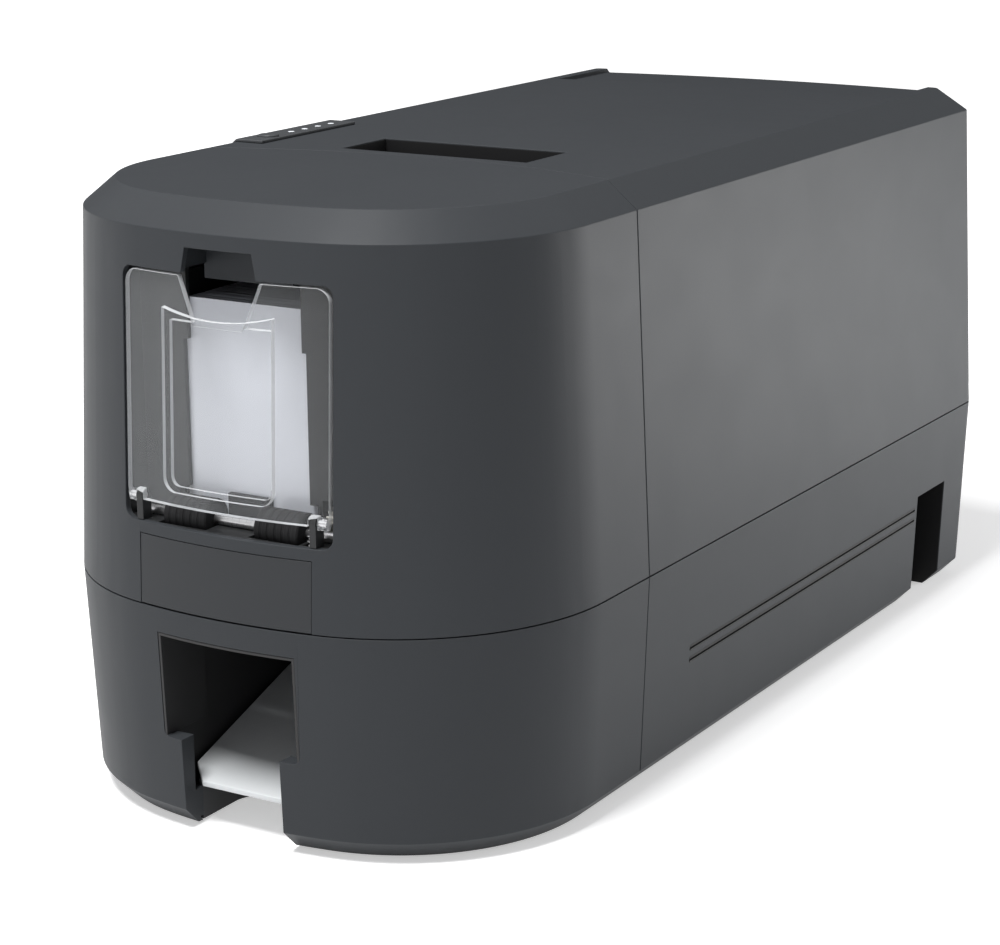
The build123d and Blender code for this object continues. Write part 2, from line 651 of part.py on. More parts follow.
def make_front():
    """Front housing with the hopper recess, its liner and the blank badge plate."""
    above = box(-FAR, FAR, -FAR, FAR, SEAM_Z + SEAM_GAP / 2, FAR)
    front = (skin & above) & ahead_of_seam(SEAM_GAP / 2)
    recess = box(-RECESS_HALF, RECESS_HALF, -FAR, PICK_Y, RECESS_BOTTOM, RECESS_TOP)
    recess = recess.fillet(RECESS_CORNER, recess.edges().filter_by(Axis.Y))
    low = RECESS_TOP - RECESS_CORNER - OVER
    thumb = [Vector(-THUMB_HALF_LOW, -FAR, low), Vector(THUMB_HALF_LOW, -FAR, low),
             Vector(THUMB_HALF_TOP, -FAR, THUMB_TOP), Vector(-THUMB_HALF_TOP, -FAR, THUMB_TOP)]
    thumb_cut = Solid.extrude(Face(Wire.make_polygon(thumb, close=True)), Vector(0, FAR + PICK_Y, 0))
    front = front - recess - thumb_cut
    floor = block(levels(BADGE_DEPTH))
    room = box(-BADGE_HALF, BADGE_HALF, -FAR, FRONT_Y / 2, SEAM_Z, BADGE_TOP)
    parts["front_housing"] = front - (room - floor)
    plate = box(-BADGE_HALF + PLAY, BADGE_HALF - PLAY, -FAR, FRONT_Y / 2,
                SEAM_Z + SEAM_GAP / 2 + PLAY, BADGE_TOP - PLAY)
    parts["blank_badge"] = (block(levels(BADGE_SINK)) - floor) & plate

    x = RECESS_HALF + PLAY / 2
    back = CARD_FRONT_Y - PLAY / 2
    inside = block(((SEAM_Z, WALL + PLAY), (CHAMFER_Z - OVER, CHAMFER_LOW_INSET + WALL + PLAY)))
    liner = [box(*pair(sign, x, x + LINER_BACK), FRONT_Y, back, RECESS_BOTTOM - 4, RECESS_TOP + 2) & inside
             for sign in (1, -1)]
    tray = box(-x - LINER_BACK, x + LINER_BACK, FRONT_Y, back - LINER_BACK,
               RECESS_BOTTOM - LINER_BACK - PLAY, RECESS_BOTTOM - PLAY / 2) & inside
    plate = box(-x - LINER_BACK, x + LINER_BACK, back - LINER_BACK, back, CARD_BOTTOM_Z - 5, RECESS_TOP + 9)
    plate = plate - box(-WINDOW_HALF, WINDOW_HALF, -FAR, 0, PICK_Z + 8, WINDOW_STEP_Z)
    plate = plate - box(-WINDOW_HIGH_HALF, WINDOW_HIGH_HALF, -FAR, 0, PICK_Z + 8, FAR)
    room = PICK_RADIUS + 1
    for sign in (1, -1):
        x0, x1 = pair(sign, PICK_INNER_X - SINK_FIN, PICK_OUTER_X + SINK_FIN)
        tray = tray - box(x0, x1, PICK_Y - room, 0, 0, FAR)
        plate = plate - box(x0, x1, -FAR, 0, PICK_Z - room, PICK_Z + room + PLAY)
    slot0, slot1 = PICK_GEAR_X - GATE_PLAY, PICK_GEAR_X + PICK_GEAR_WIDTH + GATE_PLAY
    plate = plate - box(slot0, slot1, -FAR, 0, PICK_Z - 1.5 * PICK_RADIUS, PICK_Z + 1.5 * PICK_RADIUS)
    body = joined(liner + [tray, plate])
    body = body - box(slot0, slot1, PICK_Y - PICK_RADIUS, back - LINER_BACK, 0, RECESS_BOTTOM + 2)
    y1 = DOOR_PIN_Y + KNUCKLE_RADIUS + 0.6
    for sign in (1, -1):
        x0, x1 = pair(sign, KNUCKLE_X, KNUCKLE_X + KNUCKLE_WIDTH)
        y0 = front_y(KNUCKLE_X + KNUCKLE_WIDTH, RECESS_BOTTOM) + WALL + PLAY
        body = body + box(x0, x1, y0, y1, RECESS_BOTTOM - OVER, DOOR_PIN_Z)
        body = body + box(x0, x1, DOOR_PIN_Y - KNUCKLE_RADIUS + PLAY, y1, RECESS_BOTTOM + PLAY, DOOR_PIN_Z)
        body = body + rod(DOOR_PIN_Y, DOOR_PIN_Z, KNUCKLE_RADIUS, x0, x1)
        body = body - rod(DOOR_PIN_Y, DOOR_PIN_Z, DOOR_PIN_RADIUS + RUNNING, x0 - OVER, x1 + OVER)
    parts["hopper_liner"] = body - rod(PICK_Y, PICK_Z, PICK_SHAFT_RADIUS + RUNNING, -FAR, FAR)


def make_magazine():
    """Magazine box, its cards, the pusher behind them and its guide rods."""
    x = MAGAZINE_INNER
    z0 = CARD_BOTTOM_Z - SHEET
    z1 = CARD_BOTTOM_Z + CARD_HEIGHT + MAGAZINE_ABOVE_CARDS
    y0 = CARD_FRONT_Y
    y1 = MAGAZINE_REAR_Y
    shell = [box(*pair(sign, x, x + SHEET), y0, y1, z0, z1) for sign in (1, -1)]
    shell.append(box(-x - SHEET, x + SHEET, y0 + SHEET, y1, z0, CARD_BOTTOM_Z))
    shell.append(box(-x - SHEET, x + SHEET, y1 - SHEET, y1, z0, z1))
    body = joined(shell)
    rods = []
    for place in (PUSHER_ROD_X, -PUSHER_ROD_X):
        body = body - rod_y(place, CARD_MIDDLE_Z, PUSHER_ROD_RADIUS, y1 - 5, y1 + 5)
        rods.append(rod_y(place, CARD_MIDDLE_Z, PUSHER_ROD_RADIUS, CARD_BACK_Y + 2 * PLAY, y1))
    low, high = PICK_Z - 10, PICK_Z + 10
    arm_y = FEED_Y + FEED_MOTOR_RADIUS + 4.9
    plate_x1 = FEED_PLATE_X + FEED_PLATE
    body = body + box(FEED_PLATE_X, plate_x1, FEED_Y - FEED_MOTOR_RADIUS - 2 * PLAY, arm_y, low, high)
    body = body + box(x, plate_x1, arm_y - OVER, arm_y + SHEET, low, high)
    bore = FEED_SHAFT_RADIUS + RUNNING
    parts["card_magazine"] = body - rod(FEED_Y, PICK_Z, bore, FEED_PLATE_X - OVER, plate_x1 + OVER)
    back = CARD_BACK_Y + CARD_PLAY
    plate = box(-x + 2 * PLAY, x - 2 * PLAY, back, back + PUSHER_THICKNESS, CARD_BOTTOM_Z + 2 * PLAY,
                CARD_BOTTOM_Z + CARD_HEIGHT - PUSHER_BELOW_CARDS)
    boss_end = back + PUSHER_THICKNESS + PUSHER_BOSS_LENGTH
    for place in (PUSHER_ROD_X, -PUSHER_ROD_X):
        plate = plate + rod_y(place, CARD_MIDDLE_Z, PUSHER_BOSS_RADIUS, back + OVER, boss_end)
        plate = plate - rod_y(place, CARD_MIDDLE_Z, PUSHER_ROD_RADIUS + RUNNING, CARD_BACK_Y, boss_end + OVER)
    parts["card_pusher"] = plate
    parts["pusher_rods"] = Compound(rods)
    cards = box(-CARD_WIDTH / 2, CARD_WIDTH / 2, CARD_FRONT_Y + RUNNING, CARD_BACK_Y,
                CARD_BOTTOM_Z, CARD_BOTTOM_Z + CARD_HEIGHT)
    parts["card_stack"] = cards.fillet(CARD_CORNER, cards.edges().filter_by(Axis.Y))


def make_pick():
    """Two pick tyres on a steel shaft, their gear, and the feed motor."""
    shaft_half = RECESS_HALF + LINER_BACK
    pick_gear = gear(PICK_MODULE, PICK_GEAR_TEETH, PICK_GEAR_WIDTH, PICK_SHAFT_RADIUS - PLAY, 0,
                     PICK_Y, PICK_Z, PICK_GEAR_X)
    parts["pick_shaft"] = rod(PICK_Y, PICK_Z, PICK_SHAFT_RADIUS, -shaft_half, shaft_half) + pick_gear
    tyres = []
    for sign in (1, -1):
        x0, x1 = pair(sign, PICK_INNER_X, PICK_OUTER_X)
        tyre = rod(PICK_Y, PICK_Z, PICK_RADIUS - RUNNING, x0, x1)
        tyres.append(tyre - rod(PICK_Y, PICK_Z, PICK_SHAFT_RADIUS, x0 - OVER, x1 + OVER))
    parts["pick_tyres"] = Compound(tyres)
    half_pitch = 180.0 / FEED_GEAR_TEETH
    wheel = gear(PICK_MODULE, FEED_GEAR_TEETH, PICK_GEAR_WIDTH, FEED_SHAFT_RADIUS - PLAY,
                 180 + half_pitch, FEED_Y, PICK_Z, PICK_GEAR_X)
    body_x = FEED_PLATE_X + FEED_PLATE
    end_x = body_x + FEED_MOTOR_LENGTH / 3
    motor = rod(FEED_Y, PICK_Z, FEED_MOTOR_RADIUS, body_x, body_x + FEED_MOTOR_LENGTH)
    parts["feed_motor"] = motor - rod(FEED_Y, PICK_Z, FEED_SHAFT_RADIUS + RUNNING, body_x - OVER, end_x)
    parts["feed_gear"] = wheel + rod(FEED_Y, PICK_Z, FEED_SHAFT_RADIUS, PICK_GEAR_X, end_x - PLAY / 2)


def make_door():
    """Clear door that follows the front curve, with a raised middle and a notch."""
    half = RECESS_HALF - DOOR_GAP
    top = RECESS_TOP - DOOR_TOP_GAP
    frame = box(-half, half, -FAR, FRONT_Y / 2, DOOR_BOTTOM, top)
    frame = frame.fillet(DOOR_CORNER, frame.edges().filter_by(Axis.Y))
    flange = (outer - block(levels(DOOR_THICKNESS))) & frame
    proud = block(tuple((z, i - PANEL_PROUD) for z, i in SKIN[2:4]))
    panel_box = box(-PANEL_HALF, PANEL_HALF, -FAR, FRONT_Y / 2, PANEL_BOTTOM, PANEL_TOP)
    panel_box = panel_box.fillet(DOOR_CORNER, panel_box.edges().filter_by(Axis.Y).group_by(Axis.Z)[0])
    panel = (proud - block(levels(DOOR_THICKNESS - PANEL_PROUD))) & panel_box
    ring = (proud - block(levels(DOOR_THICKNESS))) & panel_box
    inner_half = PANEL_HALF - PANEL_WALL
    core = box(-inner_half, inner_half, -FAR, FRONT_Y / 2, PANEL_BOTTOM + PANEL_WALL, PANEL_TOP + 5)
    core = core.fillet(PANEL_INNER_CORNER, core.edges().filter_by(Axis.Y).group_by(Axis.Z)[0])
    low_z = PANEL_TOP - PANEL_SCOOP - PANEL_WALL
    low_core = core - box(-FAR, FAR, -FAR, FAR, low_z, FAR)
    scoop_r = (PANEL_HALF ** 2 + PANEL_SCOOP ** 2) / (2 * PANEL_SCOOP)
    scoop = rod_y(0, PANEL_TOP - PANEL_SCOOP + scoop_r, scoop_r, -FAR, 0)
    scoop = scoop & box(-PANEL_HALF, PANEL_HALF, -FAR, 0, 0, PANEL_TOP + OVER / 2)
    door = (flange - low_core) + ((ring - core) - scoop) + (panel - scoop)
    wide = THUMB_HALF_LOW + DOOR_TOP_GAP
    notch = [Vector(-NOTCH_LOW_HALF, -FAR, low_z - OVER), Vector(NOTCH_LOW_HALF, -FAR, low_z - OVER),
             Vector(wide, -FAR, top + OVER), Vector(-wide, -FAR, top + OVER)]
    door = door - (Solid.extrude(Face(Wire.make_polygon(notch, close=True)), Vector(0, FAR, 0)) & outer)
    door = door - box(-KNUCKLE_X, KNUCKLE_X, -FAR, 0, 0, DOOR_RELIEF_Z)
    pins = []
    ear_x = KNUCKLE_X + KNUCKLE_WIDTH + KNUCKLE_PLAY
    for sign in (1, -1):
        ear = rod(DOOR_PIN_Y, DOOR_PIN_Z, DOOR_EAR_RADIUS, *pair(sign, ear_x, half - OVER / 2))
        door = door + (ear & block(levels(PLAY)))
        a0, a1 = pair(sign, KNUCKLE_X - KNUCKLE_PLAY, ear_x)
        door = door - box(a0, a1, -FAR, 0, 0, DOOR_PIN_Z)
        door = door - rod(DOOR_PIN_Y, DOOR_PIN_Z, KNUCKLE_RADIUS + KNUCKLE_PLAY, a0, a1)
        pin = rod(DOOR_PIN_Y, DOOR_PIN_Z, DOOR_PIN_RADIUS, *pair(sign, KNUCKLE_X + PLAY / 2, half - OVER))
        door = door - pin
        pins.append(pin)
    parts["hopper_door"] = door
    parts["door_pins"] = Compound(pins)


def make_cover():
    """Rear cover, hinged at the rear end of the seam, with its pocket and ears."""
    above = box(-FAR, FAR, -FAR, FAR, SEAM_Z + SEAM_GAP / 2, FAR)
    cover = (skin & above) - ahead_of_seam(-SEAM_GAP / 2)
    opening = REAR_PANEL_HALF + EAR_GAP
    cover = cover - box(-opening, opening, HINGE_Y - 10, FAR, 0, REAR_PANEL_TOP + SINK_FIN)
    low = HINGE_Z + GATE_PLAY
    tail = [(HINGE_Y, 0), (HINGE_Y, low), (REAR_Y + 4, low + (REAR_Y + 4 - HINGE_Y) * OPENING_SLOPE),
            (REAR_Y + 4, 0)]
    cover = cover - prism_x(tail, -FAR, FAR)
    cup = box(-POCKET_HALF - SHEET, POCKET_HALF + SHEET, POCKET_FRONT_Y - SHEET, POCKET_REAR_Y + SHEET,
              HEIGHT - POCKET_DEPTH - SHEET, HEIGHT - OVER)
    hole = box(-POCKET_HALF, POCKET_HALF, POCKET_FRONT_Y, POCKET_REAR_Y, HEIGHT - POCKET_DEPTH, FAR)
    cover = (cover + cup) - hole
    back_r = REAR_RADIUS - CHAMFER_TOP_INSET - REAR_STEP_WIDTH
    step = box(-REAR_STEP_HALF, REAR_STEP_HALF, REAR_STEP_PAD_Y - 50, FAR, HEIGHT - REAR_STEP, FAR)
    cover = cover - (step - rod_z(0, REAR_Y - REAR_RADIUS, back_r, HEIGHT - 10, FAR))
    pad = REAR_STEP_HALF + 2 * SHEET
    under = box(-pad, pad, REAR_STEP_PAD_Y, FAR, HEIGHT - REAR_STEP - WALL, HEIGHT - REAR_STEP)
    cover = cover + (under & block(levels(OVER)))
    pins = []
    near = LUG_X + LUG_WIDTH + EAR_GAP
    for sign in (1, -1):
        x0, x1 = pair(sign, near, near + EAR_WIDTH)
        ear = rod(HINGE_Y, HINGE_Z, EAR_RADIUS, x0, x1)
        a0, a1 = pair(sign, near, WIDTH / 2 - WALL - 0.9)
        arm = box(a0, a1, HINGE_Y - ARM_LENGTH, HINGE_Y - EAR_GAP, HINGE_Z, HINGE_Z + ARM_HEIGHT)
        arm = arm + box(x0, x1, HINGE_Y - 4, HINGE_Y + 2, HINGE_Z, HINGE_Z + 6)
        pad = box(*pair(sign, WIDTH / 2 - WALL - SHEET, WIDTH / 2 - 2.0), HINGE_Y - ARM_LENGTH,
                  HINGE_Y - EAR_GAP, HINGE_Z + OVER, HINGE_Z + ARM_HEIGHT)
        cover = cover + ear + arm + (pad & outer)
        cover = cover - rod(HINGE_Y, HINGE_Z, HINGE_PIN_RADIUS, x0 - OVER, x1 + OVER)
        pins.append(rod(HINGE_Y, HINGE_Z, HINGE_PIN_RADIUS, *pair(sign, LUG_X - 0.5, near + EAR_WIDTH)))
    strip = block(tuple((z + STRIP_PROUD, i) for z, i in SKIN)) - outer
    parts["status_panel"] = strip & box(STRIP_X, STRIP_X + STRIP_WIDTH, STRIP_FRONT_Y, STRIP_REAR_Y,
                                        CHAMFER_Z, FAR)
    parts["top_cover"] = cover
    parts["cover_hinge_pins"] = Compound(pins)


def make_button():
    """Control button and the status lights, set in the raised strip."""
    top = HEIGHT + STRIP_PROUD
    under = HEIGHT - WALL
    cut = rod_z(BUTTON_X, BUTTON_Y, BUTTON_RADIUS + 3 * RUNNING, under - 3, FAR)
    panel = parts["status_panel"] - cut
    cover = parts["top_cover"] - cut
    cap = rod_z(BUTTON_X, BUTTON_Y, BUTTON_RADIUS, under - OVER, top + BUTTON_TRAVEL)
    rim = rod_z(BUTTON_X, BUTTON_Y, BUTTON_RADIUS + BUTTON_RIM, under - OVER - BUTTON_RIM_HEIGHT, under - OVER)
    parts["panel_button"] = cap + rim
    lenses = []
    for i in range(LENS_COUNT):
        y = LENS_FIRST_Y + LENS_PITCH * i
        hole = rod_z(BUTTON_X, y, LENS_RADIUS, under - LENS_REACH, FAR)
        panel = panel - hole
        cover = cover - hole
        lenses.append(rod_z(BUTTON_X, y, LENS_RADIUS, under - LENS_REACH, top))
    parts["status_panel"] = panel
    parts["top_cover"] = cover
    parts["status_lenses"] = Compound(lenses)
    x1 = STRIP_X + STRIP_WIDTH + 8
    post_z = under - LIGHT_BOARD_DROP
    board = box(STRIP_X + 4, x1, STRIP_FRONT_Y + 2, STRIP_REAR_Y - 2, post_z - LIGHT_BOARD, post_z)
    posts = [rod_z(x1 - 3, y, LIGHT_BOARD_POST, post_z, under)
             for y in (STRIP_FRONT_Y + 6, STRIP_REAR_Y - 6)]
    parts["status_board"] = joined([board & inner] + posts)


def make_head():
    """Print head and its carrier, hung under the cover, with two springs."""
    y = HEAD_Y
    half = HEAD_DEPTH / 2
    z0 = HEAD_BOTTOM
    z1 = z0 + HEAD_HEIGHT
    bar = [(y - half, z1), (y - half, z0 + HEAD_CHAMFER), (y - HEAD_NOSE_HALF, z0), (y + HEAD_NOSE_HALF, z0),
           (y + half, z0 + HEAD_CHAMFER), (y + half, z1)]
    parts["print_head"] = prism_x(bar, -HEAD_HALF, HEAD_HALF)
    fin_z = z1 + SINK_PLATE
    sink = [box(-HEAD_HALF, HEAD_HALF, y - half, y + half, z1, fin_z)]
    for i in range(SINK_FINS):
        fin_y = y - half + 0.7 + i * (HEAD_DEPTH - 1.4 - SINK_FIN) / (SINK_FINS - 1)
        sink.append(box(-HEAD_HALF, HEAD_HALF, fin_y, fin_y + SINK_FIN, fin_z - 0.1, fin_z + SINK_FIN_HEIGHT))
    plate_z = z1 + CARRIER_RISE
    plate_top = plate_z + CARRIER_PLATE
    for x in (SINK_POST_X, -SINK_POST_X):
        sink.append(rod_z(x, y, SINK_POST_RADIUS, fin_z - 0.1, z1 + SINK_POST_HEIGHT))
        sink.append(rod_z(x, y, SINK_CLIP_RADIUS, plate_top + PLAY, plate_top + 2.0))
    parts["head_heat_sink"] = joined(sink)
    deep = CARRIER_DEPTH / 2
    wide = HEAD_HALF + CARRIER_SIDE
    carrier = box(-wide, wide, y - deep, y + deep, plate_z, plate_top)
    for sign in (1, -1):
        carrier = carrier + box(*pair(sign, HEAD_HALF - OVER, HEAD_HALF + SHEET), y - deep, y + deep,
                                plate_top - OVER, HEIGHT - WALL)
    for x in (SINK_POST_X, -SINK_POST_X):
        carrier = carrier - rod_z(x, y, SINK_POST_RADIUS + RUNNING, plate_z - OVER, plate_top + OVER)
    parts["head_carrier"] = carrier
    low = fin_z + SINK_FIN_HEIGHT + SPRING_WIRE - PLAY
    springs = [coil(SPRING_RADIUS, SPRING_WIRE, SPRING_TURNS, low, plate_z - 4 * PLAY, (x, y))
               for x in (SINK_POST_X, -SINK_POST_X)]
    parts["head_springs"] = Compound(springs)


def make_chassis():
    """Two steel side plates with cross bars, bushes and the card path."""
    shafts = [(y, ROLLER_Z) for y in (HEAD_Y - ROLLER_PITCH_Y, HEAD_Y, HEAD_Y + ROLLER_PITCH_Y)]
    pinches = [(y, PINCH_Z) for y in (HEAD_Y - ROLLER_PITCH_Y, HEAD_Y + ROLLER_PITCH_Y)]
    bushes = []
    for sign, name in ((-1, "chassis_left"), (1, "chassis_right")):
        x0, x1 = pair(sign, PLATE_INNER_X, CHASSIS_OUT_X)
        cut0, cut1 = x0 - OVER, x1 + OVER
        plate = box(x0, x1, CHASSIS_FRONT_Y, CHASSIS_REAR_Y, PLATE_TOP, CHASSIS_TOP)
        plate = plate - box(cut0, cut1, HEAD_Y - CHASSIS_GAP_HALF, HEAD_Y + CHASSIS_GAP_HALF, CHASSIS_GAP_Z, FAR)
        plate = plate - box(cut0, cut1, -FAR, CHASSIS_FRONT_Y + CHASSIS_NOSE_LENGTH, CHASSIS_NOSE_TOP, FAR)
        for places, radius in ((shafts, SHAFT_RADIUS), (pinches, PINCH_SHAFT_RADIUS)):
            for y, z in places:
                plate = plate - rod(y, z, radius + BUSH_WALL, cut0, cut1)
                bush = rod(y, z, radius + BUSH_WALL, x0 - BUSH_PROUD, x1 + BUSH_PROUD)
                bushes.append(bush - rod(y, z, radius + RUNNING, cut0, cut1))
        for y, z in ((TAKEUP_Y, TAKEUP_Z), (SUPPLY_Y, SUPPLY_Z)):
            plate = plate - rod(y, z, CORE_PIN_RADIUS + RUNNING, cut0, cut1)
        if sign < 0:
            plate = plate - rod(MOTOR_Y, MOTOR_AXIS_Z, MOTOR_HOLE_RADIUS, cut0, cut1)
        foot = box(*pair(sign, PLATE_INNER_X, PLATE_INNER_X + CHASSIS_FOOT_WIDTH),
                   CHASSIS_REAR_Y - CHASSIS_FOOT_LENGTH, CHASSIS_REAR_Y, PLATE_TOP, PLATE_TOP + SHEET)
        parts[name] = plate + foot
    parts["shaft_bushes"] = Compound(bushes)
    bars = [rod(y, z, BAR_RADIUS, -PLATE_INNER_X, PLATE_INNER_X)
            for y, z in ((BAR_FRONT_Y, BAR_FRONT_Z), (BAR_REAR_Y, BAR_REAR_Z), (BAR_REAR_Y, BAR_LOW_Z),
                         (BAR_FRONT_Y, BAR_LOW_Z))]
    path_z = PATH_Z - PATH_PLATE_DROP
    path = box(-PLATE_INNER_X, PLATE_INNER_X, CHASSIS_FRONT_Y, CHASSIS_REAR_Y, path_z - PATH_PLATE, path_z)
    room = ROLLER_RADIUS + OVER
    for y, z in shafts:
        path = path - box(-ROLLER_HALF - OVER, ROLLER_HALF + OVER, y - room, y + room, 0, FAR)
    parts["chassis_cross_parts"] = Compound(bars + [path])


def make_chute():
    """Curved guides that turn a card from upright to level, and the gate under them."""
    cy = CARD_FRONT_Y + CARD_THICKNESS / 2 + CHUTE_RADIUS
    cz = PATH_Z + CHUTE_RADIUS
    x = MAGAZINE_INNER
    quarter = box(-FAR, FAR, -FAR, cy, 0, cz - CHUTE_TOP_DROP)
    mouth = box(-FAR, FAR, -FAR, CARD_FRONT_Y + 1.1, 0, cz - 5)
    mouth_y = SHOULDER_BACK_Y + SLEEVE_REACH + 5
    mouth = mouth + box(-FAR, FAR, -FAR, mouth_y, 0, MOUTH_TOP + SHEET + PLAY)

    def arc(r0, r1, x0, x1):
        ring = rod(cy, cz, r1, x0, x1) - rod(cy, cz, r0, x0 - OVER, x1 + OVER)
        return ring & quarter

    outer_arc = arc(CHUTE_RADIUS + CHUTE_GAP, CHUTE_RADIUS + CHUTE_GAP + SHEET, -x, x)
    guide = outer_arc & box(-FAR, FAR, -FAR, GATE_FRONT_Y - GATE_PLAY, 0, FAR)
    for sign in (1, -1):
        guide = guide + arc(CHUTE_RADIUS - CHUTE_TAB_IN, CHUTE_RADIUS + CHUTE_TAB_OUT,
                            *pair(sign, x, x + SHEET))
    guide = guide - rod(GATE_PIVOT_Y, GATE_PIVOT_Z, GATE_PIN_RADIUS + RUNNING, -FAR, FAR)
    parts["outer_card_guide"] = guide - mouth
    parts["inner_card_guide"] = arc(CHUTE_RADIUS - CHUTE_GAP - SHEET, CHUTE_RADIUS - CHUTE_GAP, -x, x)
    gate = outer_arc & box(-x + CARD_PLAY, x - CARD_PLAY, GATE_FRONT_Y, GATE_PIVOT_Y, 0, FAR)
    parts["card_gate"] = gate + rod(GATE_PIVOT_Y, GATE_PIVOT_Z, GATE_PIN_RADIUS, -x - SHEET, x + SHEET)


def make_drive():
    """Driven rollers, the free rollers above them, pulleys, belt and the gear pair."""
    front, rear = HEAD_Y - ROLLER_PITCH_Y, HEAD_Y + ROLLER_PITCH_Y
    belt_x = -CHASSIS_OUT_X - 2 * GEAR_WIDTH - 3.0
    for name, y in (("transport_front", front), ("platen", HEAD_Y), ("transport_rear", rear)):
        shaft = rod(y, ROLLER_Z, SHAFT_RADIUS, belt_x - PULLEY_WIDTH - 0.5, CHASSIS_OUT_X + BUSH_WALL)
        tyre = rod(y, ROLLER_Z, ROLLER_RADIUS - RUNNING, -ROLLER_HALF, ROLLER_HALF)
        parts[name + "_rubber"] = tyre - rod(y, ROLLER_Z, SHAFT_RADIUS, -PLATE_INNER_X, PLATE_INNER_X)
        pulley = rod(y, ROLLER_Z, ROLLER_RADIUS, belt_x - PULLEY_WIDTH, belt_x)
        flange = rod(y, ROLLER_Z, ROLLER_RADIUS + PULLEY_FLANGE, belt_x, belt_x + OVER)
        parts[name + "_shaft"] = shaft + pulley + flange

    def loop(radius, x0, x1):
        middle = box(x0, x1, front, rear, ROLLER_Z - radius, ROLLER_Z + radius)
        return middle + rod(front, ROLLER_Z, radius, x0, x1) + rod(rear, ROLLER_Z, radius, x0, x1)

    inside = ROLLER_RADIUS + BELT_CLEARANCE
    belt0, belt1 = belt_x - PULLEY_WIDTH + PLAY, belt_x - PLAY
    parts["drive_belt"] = loop(inside + BELT_THICKNESS, belt0, belt1) - loop(inside, belt0 - OVER, belt1 + OVER)
    for name, y in (("pinch_front", front), ("pinch_rear", rear)):
        reach = CHASSIS_OUT_X + BUSH_PROUD - 2 * RUNNING
        tyre = rod(y, PINCH_Z, PINCH_RADIUS - RUNNING, -ROLLER_HALF, ROLLER_HALF)
        parts[name + "_roller"] = rod(y, PINCH_Z, PINCH_SHAFT_RADIUS, -reach, reach) + tyre
    gear_x = -CHASSIS_OUT_X - BUSH_WALL - GEAR_WIDTH
    toward = degrees(atan2(ROLLER_Z - MOTOR_AXIS_Z, DRIVE_Y - MOTOR_Y))
    pinion = gear(DRIVE_MODULE, DRIVE_PINION_TEETH, GEAR_WIDTH, MOTOR_SHAFT_RADIUS - PLAY, toward,
                  MOTOR_Y, MOTOR_AXIS_Z, gear_x)
    parts["transport_gear"] = gear(DRIVE_MODULE, DRIVE_GEAR_TEETH, GEAR_WIDTH, SHAFT_RADIUS,
                                   toward + 180 + 180.0 / DRIVE_GEAR_TEETH, DRIVE_Y, ROLLER_Z, gear_x)
    half = MOTOR_SIZE / 2
    face_x = -PLATE_INNER_X
    end_x = face_x + MOTOR_BORE_DEPTH
    motor = box(face_x, face_x + MOTOR_LENGTH, MOTOR_Y - half, MOTOR_Y + half,
                MOTOR_AXIS_Z - half, MOTOR_AXIS_Z + half)
    motor = motor.chamfer(MOTOR_CHAMFER, MOTOR_CHAMFER, motor.edges().filter_by(Axis.X))
    bore = MOTOR_SHAFT_RADIUS + RUNNING
    parts["drive_motor"] = motor - rod(MOTOR_Y, MOTOR_AXIS_Z, bore, face_x - OVER, end_x)
    parts["motor_pinion"] = pinion + rod(MOTOR_Y, MOTOR_AXIS_Z, MOTOR_SHAFT_RADIUS, gear_x, end_x - PLAY / 2)


def make_ribbon():
    """Ribbon rolls on their cores, with the film that runs under the head."""
    z = HEAD_BOTTOM - FILM_DROP
    runs = []
    for name, y, zc, r, edge in (("takeup", TAKEUP_Y, TAKEUP_Z, TAKEUP_RADIUS, HEAD_Y - 3.5),
                                 ("supply", SUPPLY_Y, SUPPLY_Z, SUPPLY_RADIUS, HEAD_Y + 3.5)):
        core = rod(y, zc, CORE_RADIUS, -RIBBON_HALF - CORE_PAST_ROLL, RIBBON_HALF + CORE_PAST_ROLL)
        parts["ribbon_" + name + "_core"] = core + rod(y, zc, CORE_PIN_RADIUS, -CHASSIS_OUT_X, CHASSIS_OUT_X)
        roll = rod(y, zc, r, -RIBBON_HALF, RIBBON_HALF) - rod(y, zc, CORE_RADIUS, -PLATE_INNER_X, PLATE_INNER_X)
        parts["ribbon_" + name + "_roll"] = roll
        touch = r + FILM_PLAY
        away = hypot(y - edge, zc - z)
        direction = atan2(zc - z, y - edge)
        lean = asin(touch / away)
        turn = direction - lean if y > edge else direction + lean
        reach = sqrt(away ** 2 - touch ** 2)
        end = (edge + reach * cos(turn), z + reach * sin(turn))
        dy, dz = -sin(turn) * FILM / 2, cos(turn) * FILM / 2
        runs.append(prism_x([(edge - dy, z - dz), (end[0] - dy, end[1] - dz), (end[0] + dy, end[1] + dz),
                             (edge + dy, z + dz)], -RIBBON_HALF, RIBBON_HALF))
    flat = box(-RIBBON_HALF, RIBBON_HALF, HEAD_Y - FILM_FLAT_HALF, HEAD_Y + FILM_FLAT_HALF,
               z - FILM / 2, z + FILM / 2)
    parts["ribbon_film"] = joined(runs + [flat])


